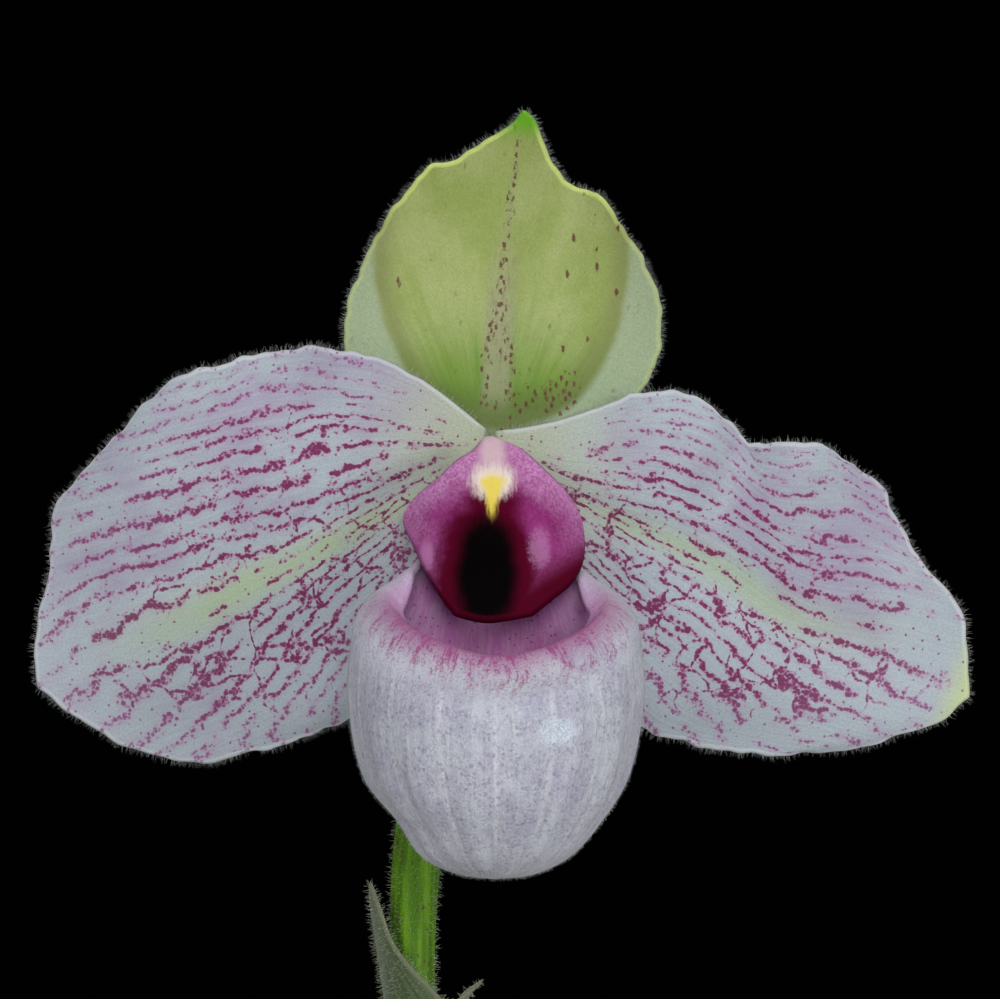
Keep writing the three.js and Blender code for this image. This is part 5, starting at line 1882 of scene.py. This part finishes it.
class OrchidFlowerSettings(bpy.types.PropertyGroup):
    """Colours and sizes of the flower."""
    vein_count: bpy.props.IntProperty(
        name="Veins", description="Rows of spots across a petal", min=6, max=40, default=21)
    margin_hair: length("Margin hair", "Length of the hairs on petal and sepal margins", 0.0009)
    fuzz_hair: length("Slipper fuzz", "Length of the hairs on the slipper", 0.00042)
    hair_root: colour("Hair root", "Hair colour at the skin", 158, 160, 158)
    hair_tip: colour("Hair tip", "Hair colour at the tip", 206, 210, 206)
    petal_ground: colour("Petal ground", "Petal between the spots", 172, 184, 192)
    petal_blush: colour("Petal blush", "Cloudy second tone of the petal", 162, 158, 180)
    petal_pale: colour("Petal pale", "Palest streaks and margin", 206, 210, 214)
    petal_shade: colour("Petal shade", "Darker grain of the petal", 134, 138, 152)
    petal_halo: colour("Petal halo", "Blush round the spots", 176, 122, 168)
    petal_band: colour("Petal band", "Green band along the midrib", 166, 190, 130)
    petal_heart: colour("Petal heart", "Base of the petal", 186, 194, 160)
    petal_spot: colour("Petal spot", "Spots on the broad part", 136, 24, 96)
    petal_spot_outer: colour("Outer spot", "Spots near the margin", 140, 62, 124)
    petal_spot_heart: colour("Heart spot", "Spots near base and midrib", 116, 28, 58)
    petal_spot_core: colour("Spot core", "Darkest middle of a spot", 70, 8, 44)
    sepal_ground: colour("Sepal ground", "Middle of the sepals", 150, 166, 88)
    # Green foot of the sepals, darkened as painted shade
    sepal_foot: colour("Sepal foot", "Base of the sepals", 92, 136, 14)
    # Painted shadow at the very base of the sepals
    sepal_deep: colour("Sepal deep", "Deepest green at the foot", 62, 98, 4)
    sepal_light: colour("Sepal light", "Pale streaks of the sepals", 168, 180, 114)
    sepal_shadow: colour("Sepal shadow", "Dark fold round the bowl", 112, 112, 74)
    sepal_shade: colour("Sepal shade", "Darker grain of the sepals", 110, 126, 72)
    sepal_flank: colour("Sepal flank", "Minty side lobes", 162, 178, 150)
    sepal_middle: colour("Sepal middle", "Greyish line along the middle", 158, 156, 128)
    sepal_rim: colour("Sepal rim", "Bright margin", 196, 212, 120)
    sepal_tip: colour("Sepal tip", "Green tip", 104, 172, 20)
    sepal_dot: colour("Sepal dots", "Fine dots and dashes", 92, 24, 38)
    pouch_ground: colour("Slipper ground", "Body of the slipper", 192, 195, 206)
    pouch_blush: colour("Slipper blush", "Cloudy second tone", 180, 180, 197)
    pouch_pale: colour("Slipper ribs", "Pale ribs and frosting", 222, 222, 230)
    # Colour of the painted highlight on the slipper's belly
    pouch_sheen: colour("Slipper sheen", "Bluish sheen on the belly", 214, 232, 244)
    # Colour of the painted shade in the belly's furrows
    pouch_furrow: colour("Slipper furrows", "Soft furrows down the belly", 150, 150, 172)
    pouch_freckle: colour("Slipper freckles", "Fine freckles", 112, 104, 134)
    pouch_stain: colour("Slipper stain", "Magenta about the mouth", 148, 40, 118)
    pouch_lining: colour("Slipper lining", "Pale streaks inside", 244, 204, 244)
    pouch_lining_deep: colour("Deep lining", "Deep streaks inside", 232, 112, 220)
    shield_wing: colour("Shield wing", "Wings of the shield", 118, 24, 86)
    shield_wing_light: colour("Light wing", "Lighter streaks of the wings", 150, 58, 124)
    # Also the colour of the painted reflections on the shield's wings
    shield_frost: colour("Shield frost", "Frosted rim", 200, 142, 192)
    shield_apex: colour("Shield apex", "Pinkish apex", 206, 178, 186)
    shield_white: colour("Shield white", "White about the blaze", 232, 222, 210)
    shield_blaze: colour("Shield blaze", "Yellow blaze", 226, 204, 84)
    shield_maroon: colour("Shield maroon", "Ring about the dark middle", 80, 2, 30)
    shield_black: colour("Shield black", "Dark middle", 3, 0, 1)


class OrchidPlantSettings(bpy.types.PropertyGroup):
    """Colours and sizes of the stalk, bracts and leaves."""
    stalk_hair_length: length("Stalk hair", "Length of the hairs on the stalk", 0.0009)
    hair_tip: colour("Hair tip", "Hair colour at the tip", 206, 214, 190)
    stalk_hair: colour("Stalk hair root", "Hair colour at the stalk", 112, 140, 70)
    stalk_green: colour("Stalk green", "Upper stalk", 66, 110, 2)
    stalk_light: colour("Stalk light", "Pale streaks", 98, 146, 16)
    stalk_foot: colour("Stalk foot", "Lower stalk", 104, 112, 60)
    stalk_dot: colour("Stalk dots", "Dots and dashes", 84, 34, 40)
    bract_green: colour("Bract green", "Body of the bracts", 48, 68, 22)
    bract_grey: colour("Bract grey", "Pale veins of the bracts", 72, 90, 50)
    bract_rim: colour("Bract rim", "Margin of the bracts", 126, 128, 98)
    leaf_dark: colour("Leaf dark", "Dark tiles", 34, 72, 34)
    leaf_pale: colour("Leaf pale", "Pale tiles", 112, 148, 96)
    leaf_vein: colour("Leaf vein", "Veins and midrib", 70, 108, 60)
    leaf_under: colour("Leaf underside", "Underside", 86, 118, 66)
    leaf_under_light: colour("Light underside", "Pale underside", 122, 150, 92)
    leaf_dust: colour("Leaf dust", "Purple dots beneath", 88, 42, 62)


class OrchidPotSettings(bpy.types.PropertyGroup):
    """Colours and sizes of the pot and its mix."""
    lime_share: bpy.props.FloatProperty(
        name="Lime bloom", description="How white the lime bloom is", min=0, max=1, default=0.55)
    crumb_density: bpy.props.FloatProperty(
        name="Crumbs", description="Crumbs on each square metre of the bed", min=0, default=1.1e5)
    clay_body: colour("Clay", "Fired clay", 186, 104, 68)
    clay_deep: colour("Deep clay", "Second tone of the clay", 160, 82, 52)
    clay_light: colour("Light clay", "Worn turning marks", 204, 130, 94)
    clay_lime: colour("Lime", "Bloom of lime", 214, 196, 178)
    clay_damp: colour("Damp clay", "Damp foot", 112, 62, 44)
    bark_red: colour("Red bark", "Fresh bark", 128, 76, 46)
    bark_grey: colour("Grey bark", "Weathered bark", 120, 100, 82)
    bark_dark: colour("Dark bark", "Dark layers", 52, 34, 26)
    bark_light: colour("Light bark", "Split fibres", 176, 134, 94)


class OrchidStageSettings(bpy.types.PropertyGroup):
    """Camera, light and floor."""
    camera_distance: length("Camera distance", "From the flower to the camera", 0.85)
    view_width: length("View width", "Width of the picture at the flower", 0.1065)
    left_light: power("Left light", "Power of the left softbox", 2.6)
    front_light: power("Front light", "Power of the front softbox", 2.6)
    right_light: power("Right light", "Power of the right softbox", 3.4)
    top_light: power("Top light", "Power of the top softbox", 2.0)
    back_light: power("Back light", "Power of the back softbox", 2.0)
    air_light: bpy.props.FloatProperty(name="Air light", description="Light from all round",
                                       min=0, default=0.1)
    floor: colour("Floor", "Floor paper", 226, 226, 222)


# Operators


class ORCHID_OT_stage(bpy.types.Operator):
    """Add the floor, lights, air and camera"""
    bl_idname = "orchid.stage"
    bl_label = "Stage"

    def execute(self, context):
        make_stage(Settings(context.scene.orchid_stage))
        return {"FINISHED"}


class ORCHID_OT_sepals(bpy.types.Operator):
    """Make the hooded sepal, the fused lower sepal and their hairs"""
    bl_idname = "orchid.sepals"
    bl_label = "Sepals"

    def execute(self, context):
        make_sepals(Settings(context.scene.orchid_flower))
        return {"FINISHED"}


class ORCHID_OT_petals(bpy.types.Operator):
    """Make the two spotted petals and their hairs"""
    bl_idname = "orchid.petals"
    bl_label = "Petals"

    def execute(self, context):
        make_petals(Settings(context.scene.orchid_flower))
        return {"FINISHED"}


class ORCHID_OT_pouch(bpy.types.Operator):
    """Make the slipper and its fuzz"""
    bl_idname = "orchid.pouch"
    bl_label = "Slipper"

    def execute(self, context):
        make_pouch(Settings(context.scene.orchid_flower))
        return {"FINISHED"}


class ORCHID_OT_column(bpy.types.Operator):
    """Make the column with its shield"""
    bl_idname = "orchid.column"
    bl_label = "Column"

    def execute(self, context):
        make_column(Settings(context.scene.orchid_flower))
        return {"FINISHED"}


class ORCHID_OT_stalk(bpy.types.Operator):
    """Make the stalk and its hairs"""
    bl_idname = "orchid.stalk"
    bl_label = "Stalk"

    def execute(self, context):
        make_stalk(Settings(context.scene.orchid_plant))
        return {"FINISHED"}


class ORCHID_OT_bracts(bpy.types.Operator):
    """Make the two clasping bracts and their hairs"""
    bl_idname = "orchid.bracts"
    bl_label = "Bracts"

    def execute(self, context):
        make_bracts(Settings(context.scene.orchid_plant))
        return {"FINISHED"}


class ORCHID_OT_leaves(bpy.types.Operator):
    """Make the six mottled leaves"""
    bl_idname = "orchid.leaves"
    bl_label = "Leaves"

    def execute(self, context):
        finish = leaf_finish(Settings(context.scene.orchid_plant))
        for number, leaf in enumerate(LEAVES, 1):
            make_leaf(number, finish, *leaf)
        return {"FINISHED"}


class ORCHID_OT_bark(bpy.types.Operator):
    """Make the bark bed, its chips and crumbs"""
    bl_idname = "orchid.bark"
    bl_label = "Bark"

    def execute(self, context):
        settings = Settings(context.scene.orchid_pot)
        make_chips(settings)
        make_bed(settings)
        return {"FINISHED"}


class ORCHID_OT_pot(bpy.types.Operator):
    """Make the clay pot"""
    bl_idname = "orchid.pot"
    bl_label = "Pot"

    def execute(self, context):
        make_pot(Settings(context.scene.orchid_pot))
        return {"FINISHED"}


OPERATORS = (
    ORCHID_OT_stage, ORCHID_OT_pot, ORCHID_OT_bark, ORCHID_OT_leaves, ORCHID_OT_stalk,
    ORCHID_OT_bracts, ORCHID_OT_sepals, ORCHID_OT_petals, ORCHID_OT_pouch, ORCHID_OT_column,
)
GROUPS = {
    "orchid_flower": OrchidFlowerSettings,
    "orchid_plant": OrchidPlantSettings,
    "orchid_pot": OrchidPotSettings,
    "orchid_stage": OrchidStageSettings,
}


class ORCHID_PT_panel(bpy.types.Panel):
    """The orchid's pieces and their settings"""
    bl_idname = "ORCHID_PT_panel"
    bl_label = "Orchid"
    bl_space_type = "VIEW_3D"
    bl_region_type = "UI"
    bl_category = "Orchid"

    def draw(self, context):
        for operator in OPERATORS:
            self.layout.operator(operator.bl_idname)
        for key, group in GROUPS.items():
            box = self.layout.box()
            for name in group.__annotations__:
                box.prop(getattr(context.scene, key), name)


CLASSES = tuple(GROUPS.values()) + OPERATORS + (ORCHID_PT_panel,)


def register():
    for each in CLASSES:
        bpy.utils.register_class(each)
    for key, group in GROUPS.items():
        setattr(bpy.types.Scene, key, bpy.props.PointerProperty(type=group))


def unregister():
    for key in GROUPS:
        delattr(bpy.types.Scene, key)
    for each in reversed(CLASSES):
        bpy.utils.unregister_class(each)


def main():
    register()
    for operator in OPERATORS:
        area, action = operator.bl_idname.split(".")
        getattr(getattr(bpy.ops, area), action)()


if __name__ == "__main__":
    main()
